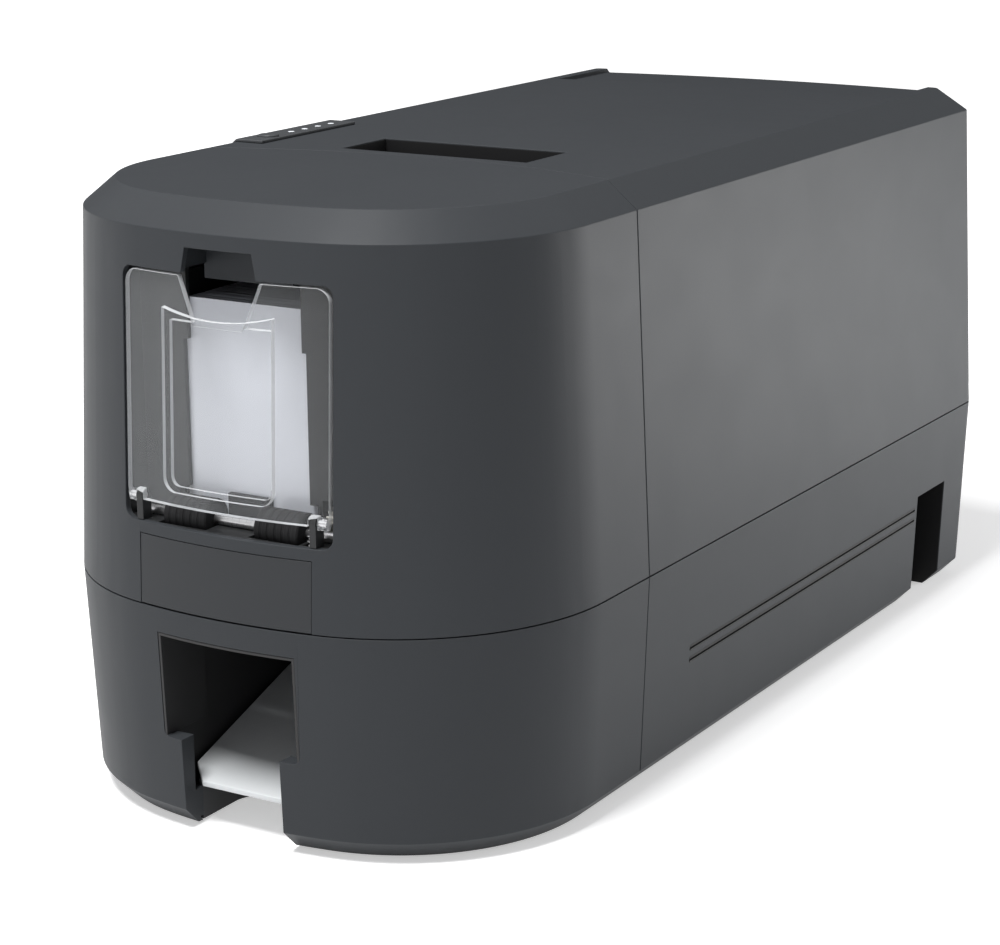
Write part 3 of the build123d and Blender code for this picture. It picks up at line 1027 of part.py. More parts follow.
def make_rear():
    """Rear panel, ports, switch, board and power supply."""
    span = box(-REAR_PANEL_HALF, REAR_PANEL_HALF, REAR_Y - REAR_PANEL_DEPTH, FAR,
               SEAM_Z + SEAM_GAP / 2, REAR_PANEL_TOP)
    panel = skin & span
    for i in range(VENT_COUNT):
        x = (i - (VENT_COUNT - 1) / 2) * VENT_PITCH
        panel = panel - box(x - VENT_WIDTH / 2, x + VENT_WIDTH / 2, REAR_Y - 40, FAR, VENT_TOP - VENT_HEIGHT,
                            VENT_TOP)
    parts["rear_panel"] = panel
    sockets = []
    for name, (x, z, w, h) in PORTS.items():
        y1 = rear_y(abs(x) + w / 2, z) - PORT_SINK
        y0 = y1 - PORT_DEPTH
        rim = PLAY / 2
        in_w, in_h = w / 2 - PORT_WALL, h / 2 - PORT_WALL
        body = box(x - w / 2 + rim, x + w / 2 - rim, y0, y1, z - h / 2 + rim, z + h / 2 - rim)
        body = body - box(x - in_w, x + in_w, y0 + 2, y1 + OVER, z - in_h, z + in_h)
        if name == "power_inlet":
            wide, high = PIN_SIZE
            for dx, dz in PIN_PLACES:
                body = body + box(x + dx - wide / 2, x + dx + wide / 2, y0 + OVER, y1 - PIN_DEPTH,
                                  z + dz - high / 2, z + dz + high / 2)
            parts[name] = body
        elif name == "power_switch":
            pivot_y = y1 - 4.0
            parts[name] = body - rod(pivot_y, z, ROCKER_PIN_RADIUS + RUNNING, x - w, x + w)
            tall = in_h - 1.4
            profile = [(pivot_y - 2.5, z - tall), (pivot_y + 4.2, z - tall), (pivot_y + 2.8, z),
                       (pivot_y + 5.6, z + tall), (pivot_y - 2.5, z + tall)]
            rocker = prism_x(profile, x - in_w + CARD_PLAY, x + in_w - CARD_PLAY)
            pin = rod(pivot_y, z, ROCKER_PIN_RADIUS, x - w / 2 + CARD_PLAY, x + w / 2 - CARD_PLAY)
            parts["power_rocker"] = rocker + pin
        else:
            tongue = box(x - w / 2 + TONGUE_SIDE, x + w / 2 - TONGUE_SIDE, y0 + OVER, y1 - PIN_DEPTH,
                         z - TONGUE_HEIGHT / 2, z + TONGUE_HEIGHT / 2)
            sockets.append(body + tongue)
    parts["data_ports"] = Compound(sockets)
    face = BOARD_X + BOARD_THICKNESS
    board = box(BOARD_X, face, *BOARD_Y, BOARD_LOW_Z, BOARD_LOW_Z + BOARD_HEIGHT)
    proud, long, tall = CHIP_SIZE
    chips = [box(face, face + proud, y, y + long, z, z + tall) for y in CHIP_Y for z in CHIP_Z]
    parts["control_board"] = joined([board] + chips)
    wide, long, tall = SUPPLY_BOX_SIZE
    parts["power_supply"] = box(SUPPLY_BOX_X, SUPPLY_BOX_X + wide, SUPPLY_BOX_Y, SUPPLY_BOX_Y + long,
                                PLATE_TOP, PLATE_TOP + tall)


make_base()
make_bottom()
make_output()
make_front()
make_magazine()
make_pick()
make_door()
make_cover()
make_button()
make_head()
make_chassis()
make_chute()
make_drive()
make_ribbon()
make_rear()

os.makedirs("parts", exist_ok=True)
for part_name, part_shape in parts.items():
    export_step(part_shape, f"parts/{part_name}.step")
print(len(parts), "nodes")
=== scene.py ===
import json
import random
from math import cos, pi, radians, sin, sqrt

import bmesh
import bpy
from mathutils import Matrix, Vector

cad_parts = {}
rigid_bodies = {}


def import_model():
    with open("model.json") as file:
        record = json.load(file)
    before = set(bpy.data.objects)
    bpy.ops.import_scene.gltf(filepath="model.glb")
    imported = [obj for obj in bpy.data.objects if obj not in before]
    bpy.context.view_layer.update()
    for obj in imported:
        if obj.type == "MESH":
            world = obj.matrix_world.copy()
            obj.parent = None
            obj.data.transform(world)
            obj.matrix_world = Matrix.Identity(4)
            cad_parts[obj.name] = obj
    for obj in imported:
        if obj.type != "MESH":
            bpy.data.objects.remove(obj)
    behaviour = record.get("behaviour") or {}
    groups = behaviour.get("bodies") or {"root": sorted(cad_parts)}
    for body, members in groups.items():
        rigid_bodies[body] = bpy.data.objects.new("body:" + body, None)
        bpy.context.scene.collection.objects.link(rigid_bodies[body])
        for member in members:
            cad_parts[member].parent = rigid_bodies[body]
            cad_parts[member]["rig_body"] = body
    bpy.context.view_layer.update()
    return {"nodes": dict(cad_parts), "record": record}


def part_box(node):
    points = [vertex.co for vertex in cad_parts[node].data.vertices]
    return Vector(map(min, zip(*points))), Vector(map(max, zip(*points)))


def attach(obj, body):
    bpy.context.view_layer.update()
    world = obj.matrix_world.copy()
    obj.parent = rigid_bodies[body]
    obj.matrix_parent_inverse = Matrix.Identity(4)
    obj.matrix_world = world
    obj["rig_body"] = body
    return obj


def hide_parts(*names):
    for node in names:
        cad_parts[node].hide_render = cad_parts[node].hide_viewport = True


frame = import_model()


# The photo stand. The printer stands on white paper in a white room, under a soft lamp
# overhead in front, with a small one low at its right rear. A black velvet flag behind it
# keeps the room out of the gloss of its top. The camera looks from the front right.
VIEW_FROM = Vector((0.5214, -0.9004, 0.3604))
VIEW_TO = Vector((-0.0131, -0.0149, 0.0841))
VIEW_ROLL = -0.008
LENS = 95.56
SENSOR = 36.0
FAR_CLIP = 20.0
# Each lamp has its place, the point it is aimed at, its size in metres and its watts.
LAMPS = {"lamp_over": ((-0.12, -0.80, 1.75), (0.0, 0.0, 0.1), 0.6, 44.0),
         "lamp_right": ((0.50, 0.55, 0.05), (0.1, 0.14, 0.03), 0.3, 2.9)}
FLAG_LEFT = (-2.20, 0.70)
FLAG_RIGHT = (0.60, 2.15)
FLAG_FOOT = 0.16
FLAG_TOP = 1.50
VELVET_PILE = 600.0
VELVET_SHADES = (0.01, 0.03)
WHITE = (1.0, 1.0, 1.0, 1.0)
ROOM = (0.80, 0.80, 0.82, 1.0)
ROOM_STRENGTH = 0.34
PAPER = (0.88, 0.88, 0.88, 1.0)
PAPER_HALF = 4.0
PAPER_GLOW = (0.47, 1.0)
GLOW_REACH = (0.3, 1.1)
PAPER_FIBRES = 900.0
FIBRE_DEPTH = 0.0001


def add_node(tree, kind, inputs=None, **settings):
    """One shader node with its settings, and its inputs set or linked by name."""
    node = tree.nodes.new("ShaderNode" + kind)
    for key, value in settings.items():
        setattr(node, key, value)
    for key, value in (inputs or {}).items():
        if isinstance(value, bpy.types.NodeSocket):
            tree.links.new(value, node.inputs[key])
        else:
            node.inputs[key].default_value = value
    return node


def maths(tree, operation, *values, clamp=False):
    """One sum in a shader."""
    inputs = dict(enumerate(values))
    return add_node(tree, "Math", inputs, operation=operation, use_clamp=clamp).outputs[0]


def spread(tree, value, low, high, start=0.0, end=1.0, **settings):
    """A value that runs from start to end, brought between low and high."""
    inputs = {"Value": value, "From Min": start, "From Max": end, "To Min": low, "To Max": high}
    return add_node(tree, "MapRange", inputs, **settings).outputs["Result"]


def own_place(tree):
    """Where a point of the surface is on the object, in metres."""
    return add_node(tree, "TexCoord").outputs["Object"]


def noise(tree, scale, detail=2.0, place=None, **more):
    """Cloudy noise. Where a place is given, its scale counts per metre."""
    inputs = {"Scale": scale, "Detail": detail, **more}
    if place is not None:
        inputs["Vector"] = place
    return add_node(tree, "TexNoise", inputs).outputs["Fac"]


def seen_directly(tree):
    """1 where the camera sees something directly, in a mirror or through glass."""
    ray = add_node(tree, "LightPath").outputs
    turned_ray = maths(tree, "MAXIMUM", ray["Is Glossy Ray"], ray["Is Transmission Ray"])
    return maths(tree, "MAXIMUM", ray["Is Camera Ray"], turned_ray)


def surface(name, **sockets):
    """New material with its node tree and its shader, which has these plain values."""
    made = bpy.data.materials.new(name)
    made.use_nodes = True
    shader = made.node_tree.nodes["Principled BSDF"]
    for key, value in sockets.items():
        shader.inputs[key.replace("_", " ")].default_value = value
    return made, made.node_tree, shader


def aimed(place, at, roll=0.0):
    """Matrix of a camera or lamp at one place that looks at another."""
    look = (at - place).to_track_quat("-Z", "Y").to_matrix().to_4x4()
    return Matrix.Translation(place) @ look @ Matrix.Rotation(roll, 4, "Z")


def put(name, data):
    """New object in the scene."""
    made = bpy.data.objects.new(name, data)
    bpy.context.scene.collection.objects.link(made)
    return made


def stage_sheet(name, corners):
    """Flat sheet of the photo stand through four corners."""
    mesh = bpy.data.meshes.new(name)
    mesh.from_pydata(corners, [], [(0, 1, 2, 3)])
    made = put(name, mesh)
    return made


scene = bpy.context.scene
scene.view_settings.view_transform = "Standard"
camera = put("camera", bpy.data.cameras.new("camera"))
camera.data.lens = LENS
camera.data.sensor_width = SENSOR
camera.data.clip_end = FAR_CLIP
camera.matrix_world = aimed(VIEW_FROM, VIEW_TO, VIEW_ROLL)
scene.camera = camera
for lamp_name, (lamp_place, lamp_aim, lamp_size, lamp_power) in LAMPS.items():
    lamp = put(lamp_name, bpy.data.lights.new(lamp_name, "AREA"))
    lamp.data.size = lamp_size
    lamp.data.energy = lamp_power
    lamp.matrix_world = aimed(Vector(lamp_place), Vector(lamp_aim))

flag = stage_sheet("black_flag", [(*FLAG_LEFT, FLAG_FOOT), (*FLAG_RIGHT, FLAG_FOOT),
                                  (*FLAG_RIGHT, FLAG_TOP), (*FLAG_LEFT, FLAG_TOP)])
flag.visible_camera = False
velvet, velvet_tree, velvet_body = surface("black_velvet", Roughness=1.0, Specular_IOR_Level=0.0)
velvet_tree.links.new(spread(velvet_tree, noise(velvet_tree, VELVET_PILE), *VELVET_SHADES),
                      velvet_body.inputs["Base Color"])
flag.data.materials.append(velvet)

room = bpy.data.worlds.new("white_room")
scene.world = room
room.use_nodes = True
room_tree = room.node_tree
lit_room = room_tree.nodes["Background"]
lit_room.inputs["Color"].default_value = ROOM
lit_room.inputs["Strength"].default_value = ROOM_STRENGTH
seen_room = add_node(room_tree, "Background", {"Color": WHITE, "Strength": 1.0})
either_room = add_node(room_tree, "MixShader", {0: seen_directly(room_tree), 1: lit_room.outputs[0],
                                                2: seen_room.outputs[0]})
room_tree.links.new(either_room.outputs[0], room_tree.nodes["World Output"].inputs["Surface"])

paper_floor = stage_sheet("paper_floor", [(PAPER_HALF * x, PAPER_HALF * y, 0)
                                          for x, y in ((-1, -1), (1, -1), (1, 1), (-1, 1))])
paper, paper_tree, paper_body = surface("white_paper", Base_Color=PAPER, Roughness=0.9,
                                        Specular_IOR_Level=0.0, Emission_Color=WHITE)
fibre = {"Height": noise(paper_tree, PAPER_FIBRES), "Strength": 0.05, "Distance": FIBRE_DEPTH}
paper_tree.links.new(add_node(paper_tree, "Bump", fibre).outputs[0], paper_body.inputs["Normal"])
from_middle = add_node(paper_tree, "VectorMath", {0: own_place(paper_tree)}, operation="LENGTH")
paper_fade = spread(paper_tree, from_middle.outputs["Value"], *PAPER_GLOW, *GLOW_REACH,
                    interpolation_type="SMOOTHSTEP")
paper_tree.links.new(maths(paper_tree, "MULTIPLY", seen_directly(paper_tree), paper_fade),
                     paper_body.inputs["Emission Strength"])
paper_floor.data.materials.append(paper)


# Floor pan. It is folded from sheet steel, has a dark powder coat that is rubbed on its
# edges, and closes the base from below.
MM = 0.001
PAN_GREY = (0.030, 0.031, 0.033)
DUST_GREY = (0.35, 0.34, 0.32, 1)
WELD = 0.02 * MM
CUT_REACH = 0.001 * MM
FLAT_WITHIN = radians(0.4)
EDGE_FROM = radians(32)
FLAT_WEIGHT = 60
SKIN = [("Colour", "Color"), ("Roughness", "Float"), ("Height", "Float")]
slots = {item["node"]: item["material_slot"] for item in frame["record"]["subparts"]}


def effect(name, takes, gives):
    """Empty node group with named inputs and outputs."""
    group = bpy.data.node_groups.new(name, "ShaderNodeTree")
    for label, kind, value in takes:
        made = group.interface.new_socket(name=label, in_out="INPUT",
                                          socket_type="NodeSocket" + kind)
        made.default_value = value
    for label, kind in gives:
        group.interface.new_socket(name=label, in_out="OUTPUT", socket_type="NodeSocket" + kind)
    given = group.nodes.new("NodeGroupInput").outputs
    return group, given, group.nodes.new("NodeGroupOutput").inputs


def toned(tree, colour, value):
    """A colour made lighter or darker by a factor."""
    scaled = add_node(tree, "VectorMath", {0: colour, "Scale": value}, operation="SCALE")
    return scaled.outputs["Vector"]


def split(tree, vector, axis):
    """One coordinate of a place, or one channel of a colour."""
    return add_node(tree, "SeparateXYZ", {0: vector}).outputs[axis]


def blended(tree, mask, first, second):
    """Two colours mixed by a mask."""
    node = add_node(tree, "Mix", data_type="RGBA")
    tree.links.new(mask, node.inputs["Factor"])
    for key, value in (("A", first), ("B", second)):
        socket = [i for i in node.inputs if i.name == key and i.type == "RGBA"][0]
        if isinstance(value, bpy.types.NodeSocket):
            tree.links.new(value, socket)
        else:
            socket.default_value = value
    return [o for o in node.outputs if o.type == "RGBA"][0]


def make_grain():
    """Spark-eroded grain of a moulding, with broad patches of tone, and hand marks that
    change its gloss."""
    patches, marks = 9.0, 38.0
    group, given, wanted = effect(
        "moulded_grain",
        [("Colour", "Color", (0.1, 0.1, 0.1, 1)), ("Grain per metre", "Float", 1600.0),
         ("Tone shift", "Float", 0.05), ("Roughness", "Float", 0.5), ("Rub marks", "Float", 0.06)],
        SKIN)
    place = own_place(group)
    pits = noise(group, given["Grain per metre"], 2.0, place)
    tone = maths(group, "ADD", maths(group, "ADD", pits, noise(group, patches, 3.0, place)), -1.0)
    tone = maths(group, "MULTIPLY_ADD", tone, given["Tone shift"], 1.0)
    group.links.new(toned(group, given["Colour"], tone), wanted["Colour"])
    hands = maths(group, "SUBTRACT", noise(group, marks, 5.0, place, Distortion=0.6), 0.5)
    rough = maths(group, "MULTIPLY_ADD", hands, given["Rub marks"], given["Roughness"])
    group.links.new(rough, wanted["Roughness"])
    group.links.new(pits, wanted["Height"])
    return group


def make_rub():
    """Wear where an edge is handled: a mask that is strong on edges, and patchy."""
    patches, sharpness, least = 60.0, 9.0, 0.3
    group, given, wanted = effect("rubbed_edges", [("Width", "Float", 0.0006), ("Amount", "Float", 0.3)],
                                  [("Mask", "Float")])
    rounded = add_node(group, "Bevel", {"Radius": given["Width"]}, samples=4).outputs[0]
    flat = add_node(group, "NewGeometry").outputs["Normal"]
    turn = add_node(group, "VectorMath", {0: rounded, 1: flat}, operation="DOT_PRODUCT").outputs["Value"]
    away = maths(group, "MULTIPLY", maths(group, "SUBTRACT", 1.0, turn), sharpness, clamp=True)
    patchy = spread(group, noise(group, patches, 4.0, own_place(group)), least, 1.0)
    worn = maths(group, "MULTIPLY", away, patchy)
    group.links.new(maths(group, "MULTIPLY", worn, given["Amount"], clamp=True), wanted["Mask"])
    return group


def make_dust():
    """Dust that settles in specks on the faces that look up."""
    specks, bare, full, slope_loss = 420.0, 0.45, 0.8, 3.0
    group, given, wanted = effect("settled_dust", [("Amount", "Float", 0.05)], [("Mask", "Float")])
    up = split(group, add_node(group, "NewGeometry").outputs["Normal"], "Z")
    speckled = spread(group, noise(group, specks, 6.0, own_place(group), Roughness=0.7), 0.0, 1.0,
                      bare, full)
    lying = maths(group, "MULTIPLY", maths(group, "POWER", up, slope_loss, clamp=True), speckled)
    group.links.new(maths(group, "MULTIPLY", lying, given["Amount"], clamp=True), wanted["Mask"])
    return group


def place_effect(tree, group, **values):
    """One shared effect in a material, with its own values."""
    node = tree.nodes.new("ShaderNodeGroup")
    node.node_tree = group
    for key, value in values.items():
        node.inputs[key.replace("_", " ")].default_value = value
    return node.outputs


def connect(tree, shader, skin, colour, depth):
    """Colour, roughness and relief of a skin go to the shader."""
    tree.links.new(colour, shader.inputs["Base Color"])
    tree.links.new(skin["Roughness"], shader.inputs["Roughness"])
    relief = {"Height": skin["Height"], "Strength": 0.5, "Distance": depth}
    tree.links.new(add_node(tree, "Bump", relief).outputs[0], shader.inputs["Normal"])


def paler(colour, factor, more=0.0):
    """A lighter tint of a colour, with full alpha."""
    return tuple(min(1.0, factor * part + more) for part in colour) + (1,)


def moulded(name, colour, roughness=0.5, grain_size=0.6, depth=0.03, tone_shift=0.06, worn=0.12,
            dusty=0.04, gloss=0.35):
    """Moulded plastic or powder coat with its grain, rubbed edges and a trace of dust.
    The grain's size and depth are in mm."""
    made, tree, shader = surface(name, Specular_IOR_Level=gloss)
    skin = place_effect(tree, grain, Colour=(*colour, 1), Grain_per_metre=1 / (grain_size * MM),
                        Tone_shift=tone_shift, Roughness=roughness)
    edges = place_effect(tree, rub, Amount=worn)
    shade = blended(tree, edges["Mask"], skin["Colour"], paler(colour, 1.7, 0.02))
    settled = place_effect(tree, dust, Amount=dusty)
    shade = blended(tree, settled["Mask"], shade, DUST_GREY)
    connect(tree, shader, skin, shade, depth * MM)
    return made


def belongs(piece, body, slot, *nodes):
    """Which body the piece moves with, and which solids it stands for. The slot argument is not used."""
    if nodes:
        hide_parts(*nodes)
    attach(piece, body)
    return piece


def finished(node, material, edge=0.3, segments=2, cuts=(), joined=0.05):
    """The node's own shape with its sharp edges broken by a radius in mm. A flat face
    with a hole in it needs a cut across Y through the hole. Points nearer together than
    the joined length in mm become one."""
    source = frame["nodes"][node]
    mesh = source.data.copy()
    shape = bmesh.new()
    shape.from_mesh(mesh)
    bmesh.ops.remove_doubles(shape, verts=shape.verts, dist=WELD)
    for cut_y in cuts:
        everything = [*shape.verts, *shape.edges, *shape.faces]
        cut = bmesh.ops.bisect_plane(shape, geom=everything, dist=CUT_REACH, plane_co=(0, cut_y, 0),
                                     plane_no=(0, 1, 0))["geom_cut"]
        for part in cut:
            if isinstance(part, bmesh.types.BMEdge):
                part.seam = True
    bmesh.ops.dissolve_limit(shape, angle_limit=FLAT_WITHIN, verts=shape.verts, edges=shape.edges,
                             delimit={"SEAM"})
    bmesh.ops.remove_doubles(shape, verts=shape.verts, dist=joined * MM)
    for face in shape.faces:
        face.smooth = True
    shape.to_mesh(mesh)
    shape.free()
    mesh.materials.clear()
    mesh.materials.append(material)
    piece = put("finished_" + node, mesh)
    broken = piece.modifiers.new("broken_edges", "BEVEL")
    broken.width = edge * MM
    broken.segments = segments
    broken.limit_method = "ANGLE"
    broken.angle_limit = EDGE_FROM
    broken.use_clamp_overlap = False
    even = piece.modifiers.new("even_shading", "WEIGHTED_NORMAL")
    even.keep_sharp = True
    even.weight = FLAT_WEIGHT
    return belongs(piece, source["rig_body"], slots[node], node)


grain = make_grain()
rub = make_rub()
dust = make_dust()
pan_coat = moulded("powder_coat", PAN_GREY, roughness=0.55, grain_size=0.9, depth=0.04, worn=0.3,
                   dusty=0.0)
finished("bottom_plate", pan_coat, edge=0.15)


# Feet. Four discs are moulded in black rubber, with a hollow middle and a rounded rim,
# and are fixed under the pan.
RUBBER_BLACK = (0.014, 0.014, 0.015)
FOOT_R = 9.0 * MM
FOOT_PROFILE = ((0.35 * MM, 4.0 * MM), (0.0, 4.6 * MM), (0.0, 8.2 * MM), (0.25 * MM, 8.85 * MM),
                (0.6 * MM, FOOT_R))


def rubber(name, colour, roughness=0.75, grain_size=0.35):
    """Ground rubber: matt, with a fine nap."""
    return moulded(name, colour, roughness, grain_size, depth=0.05, tone_shift=0.18, worn=0.25,
                   dusty=0.1, gloss=0.2)


def from_shape(name, shape, material, smooth=None):
    """Object from a bmesh, with its edges sharp above an angle where one is given."""
    bmesh.ops.recalc_face_normals(shape, faces=shape.faces)
    mesh = bpy.data.meshes.new(name)
    for face in shape.faces:
        face.smooth = smooth is not None
    if smooth is not None:
        for edge in shape.edges:
            sharp = len(edge.link_faces) == 2 and edge.calc_face_angle(0) > radians(smooth)
            edge.smooth = not sharp
    shape.to_mesh(mesh)
    shape.free()
    mesh.materials.append(material)
    return put(name, mesh)


def join_rings(shape, rings):
    """Faces between each ring of points and the next."""
    for low, high in zip(rings, rings[1:]):
        for i in range(len(low)):
            after = (i + 1) % len(low)
            shape.faces.new((low[i], low[after], high[after], high[i]))


def add_turned(shape, profile, centre, axis="Z", steps=48):
    """A turned form in a bmesh, from (along, radius) points; it closes at both ends."""
    to_axis = {"Z": Matrix.Identity(3), "X": Matrix.Rotation(pi / 2, 3, "Y")}[axis]
    rings = []
    for along, radius in profile:
        ring = []
        for i in range(steps):
            turn = 2 * pi * i / steps
            spot = to_axis @ Vector((radius * cos(turn), radius * sin(turn), along))
            ring.append(shape.verts.new(Vector(centre) + spot))
        rings.append(ring)
    join_rings(shape, rings)
    shape.faces.new(list(reversed(rings[0])))
    shape.faces.new(rings[-1])


feet_low, feet_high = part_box("rubber_feet")
feet_shape = bmesh.new()
for foot_x in (feet_low[0] + FOOT_R, feet_high[0] - FOOT_R):
    for foot_y in (feet_low[1] + FOOT_R, feet_high[1] - FOOT_R):
        add_turned(feet_shape, (*FOOT_PROFILE, (feet_high[2], FOOT_R)), (foot_x, foot_y, 0))
foot_rubber = rubber("foot_rubber", RUBBER_BLACK)
belongs(from_shape("moulded_feet", feet_shape, foot_rubber, smooth=35), "case", "rubber_black",
        "rubber_feet")


# Pan screws. Six zinc-plated screws with a cross in their heads hold the pan to the base.
# Their coat has the pale flakes and haze of zinc.
SCREW_ZINC = (0.42, 0.42, 0.43)
COAT_RELIEF = 0.01 * MM
PAN_SCREWS = ((0.055, -0.130), (0.078, 0.040), (0.030, 0.190))
PAN_SCREW_SEAT = 0.7 * MM
SCREW_R = 3.0 * MM
SCREW_HEIGHT = 1.5 * MM
SCREW_CROWN = ((0.0, 1.0), (0.5, 1.0), (0.8, 0.9), (1.0, 0.68))
SCREW_STEPS = 32
CROSS_DEPTH = 0.8 * MM
CROSS_ARM = 1.55 * MM
CROSS_HALF = 0.33 * MM
CROSS_TAPER = 0.8


def make_bloom():
    """Flakes and haze on a zinc coat."""
    flakes, clouds, darkest, lightest, dulled = 240.0, 25.0, 0.86, 1.06, 0.1
    group, given, wanted = effect(
        "zinc_bloom", [("Colour", "Color", (0.5, 0.5, 0.5, 1)), ("Roughness", "Float", 0.35)], SKIN)
    place = own_place(group)
    flake = add_node(group, "TexVoronoi", {"Vector": place, "Scale": flakes, "Randomness": 1.0})
    haze = noise(group, clouds, 4.0, place)
    mottled = maths(group, "ADD", split(group, flake.outputs["Color"], "X"), haze)
    group.links.new(toned(group, given["Colour"], spread(group, mottled, darkest, lightest)),
                    wanted["Colour"])
    group.links.new(maths(group, "MULTIPLY_ADD", mottled, dulled, given["Roughness"]),
                    wanted["Roughness"])
    group.links.new(haze, wanted["Height"])
    return group


def plated(name, colour, roughness=0.35, worn=0.2):
    """Zinc-plated steel, brighter where its edges are rubbed."""
    made, tree, shader = surface(name, Metallic=1.0)
    skin = place_effect(tree, bloom, Colour=(*colour, 1), Roughness=roughness)
    edges = place_effect(tree, rub, Width=0.0004, Amount=worn)
    connect(tree, shader, skin, blended(tree, edges["Mask"], skin["Colour"], paler(colour, 1.3)),
            COAT_RELIEF)
    return made


def add_screw(shape, centre, facing):
    """A pan-head screw in a bmesh, with its cross sunk in the head. It faces along an axis."""
    start = len(shape.verts)
    rings = []
    for up, out in SCREW_CROWN:
        rings.append([shape.verts.new((out * SCREW_R * cos(2 * pi * i / SCREW_STEPS),
                                       out * SCREW_R * sin(2 * pi * i / SCREW_STEPS),
                                       up * SCREW_HEIGHT)) for i in range(SCREW_STEPS)])
    join_rings(shape, rings)
    shape.faces.new(list(reversed(rings[0])))
    arm, half = CROSS_ARM, CROSS_HALF
    outline = [(half, half), (half, arm), (-half, arm), (-half, half), (-arm, half), (-arm, -half),
               (-half, -half), (-half, -arm), (half, -arm), (half, -half), (arm, -half), (arm, half)]
    top = [shape.verts.new((x, y, SCREW_HEIGHT)) for x, y in outline]
    bottom = [shape.verts.new((CROSS_TAPER * x, CROSS_TAPER * y, SCREW_HEIGHT - CROSS_DEPTH))
              for x, y in outline]
    edges = []
    for loop in (rings[-1], top):
        for i, vert in enumerate(loop):
            other = loop[(i + 1) % len(loop)]
            edges.append(shape.edges.get((vert, other)) or shape.edges.new((vert, other)))
    bmesh.ops.triangle_fill(shape, edges=edges, use_beauty=True, normal=(0, 0, 1))
    join_rings(shape, (top, bottom))
    shape.faces.new(bottom)
    shape.verts.ensure_lookup_table()
    turn = Vector((0, 0, 1)).rotation_difference(Vector(facing)).to_matrix()
    for vert in shape.verts[start:]:
        vert.co = Vector(centre) + turn @ vert.co


bloom = make_bloom()
screw_zinc = plated("zinc_screws", SCREW_ZINC, roughness=0.3)
pan_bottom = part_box("bottom_plate")[0][2]
screws_shape = bmesh.new()
for screw_x, screw_y in PAN_SCREWS:
    for side in (1, -1):
        add_screw(screws_shape, (side * screw_x, screw_y, pan_bottom + PAN_SCREW_SEAT), (0, 0, -1))
belongs(from_shape("pan_screws", screws_shape, screw_zinc, smooth=35), "case", "steel")


# Chassis. Two zinc-plated side plates carry the rollers, in sintered bronze bushes, and
# the ribbon's cores. Four turned bars and the card path plate hold them apart.
ZINC = (0.50, 0.51, 0.53)
BRONZE = (0.45, 0.27, 0.11)
GROUND_STEEL = (0.55, 0.55, 0.56)


def make_lines():
    """Fine lines that run round a turned or ground bar, which lies along X."""
    lines_along, darkest, lightest, dulled = (1.0, 0.02, 0.02), 0.9, 1.08, 0.16
    group, given, wanted = effect(
        "turned_lines", [("Colour", "Color", (0.6, 0.6, 0.6, 1)), ("Lines per metre", "Float", 6000.0),
                         ("Roughness", "Float", 0.25)], SKIN)
    stretch = add_node(group, "VectorMath", {0: own_place(group), 1: lines_along},
                       operation="MULTIPLY").outputs[0]
    cut = noise(group, given["Lines per metre"], 1.0, stretch)
    group.links.new(toned(group, given["Colour"], spread(group, cut, darkest, lightest)),
                    wanted["Colour"])
    group.links.new(maths(group, "MULTIPLY_ADD", cut, dulled, given["Roughness"]),
                    wanted["Roughness"])
    group.links.new(cut, wanted["Height"])
    return group


def turned_metal(name, colour, roughness=0.22, metallic=1.0, depth=0.004):
    """Bar that was turned or ground. The depth of its lines is in mm."""
    made, tree, shader = surface(name, Metallic=metallic)
    skin = place_effect(tree, lines, Colour=(*colour, 1), Roughness=roughness)
    connect(tree, shader, skin, skin["Colour"], depth * MM)
    return made


lines = make_lines()
chassis_zinc = plated("zinc_sheet", ZINC)
bush_bronze = turned_metal("bronze_bushes", BRONZE, roughness=0.4)
ground_steel = turned_metal("ground_steel", GROUND_STEEL)
for name in ("chassis_left", "chassis_right", "chassis_cross_parts"):
    finished(name, chassis_zinc, edge=0.15)
finished("shaft_bushes", bush_bronze, edge=0.15)


# Rollers and their drive. The driven rollers are ground rubber on steel shafts, the free
# ones steel. Moulded acetal gears, a stepping motor and a rubber belt turn them.
ROLLER_BLUE = (0.040, 0.052, 0.068)
ACETAL = (0.66, 0.65, 0.60)
MOTOR_BLACK = (0.018, 0.018, 0.020)
MOTOR_CAP = (0.42, 0.42, 0.43)
MOTOR_CAP_DEPTH = 7.0 * MM


def striped(name, first, second, low, high, roughness=0.4):
    """Metal case whose middle band, between two places along X, has another colour."""
    made, tree, shader = surface(name, Metallic=0.9)
    skin = place_effect(tree, bloom, Colour=(*first, 1), Roughness=roughness)
    along = split(tree, own_place(tree), "X")
    band = maths(tree, "MULTIPLY", maths(tree, "GREATER_THAN", along, low),
                 maths(tree, "LESS_THAN", along, high))
    connect(tree, shader, skin, blended(tree, band, skin["Colour"], (*second, 1)), COAT_RELIEF)
    return made


roller_rubber = rubber("roller_rubber", ROLLER_BLUE, roughness=0.6)
black_rubber = rubber("black_rubber", RUBBER_BLACK)
acetal = moulded("white_acetal", ACETAL, roughness=0.35, grain_size=1.5, depth=0.01,
                 tone_shift=0.03, worn=0.0, dusty=0.05, gloss=0.5)
for name in ("transport_front", "platen", "transport_rear"):
    finished(name + "_shaft", ground_steel, edge=0.2)
    finished(name + "_rubber", black_rubber if name == "platen" else roller_rubber, edge=0.5)
for name in ("pinch_front_roller", "pinch_rear_roller"):
    finished(name, ground_steel, edge=0.3)
finished("drive_belt", black_rubber, edge=0.2)
finished("transport_gear", acetal, edge=0.12, segments=1)
finished("motor_pinion", ground_steel, edge=0.1, segments=1)
motor_low, motor_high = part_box("drive_motor")
motor_case = striped("motor_case", MOTOR_CAP, MOTOR_BLACK, motor_low[0] + MOTOR_CAP_DEPTH,
                     motor_high[0] - MOTOR_CAP_DEPTH)
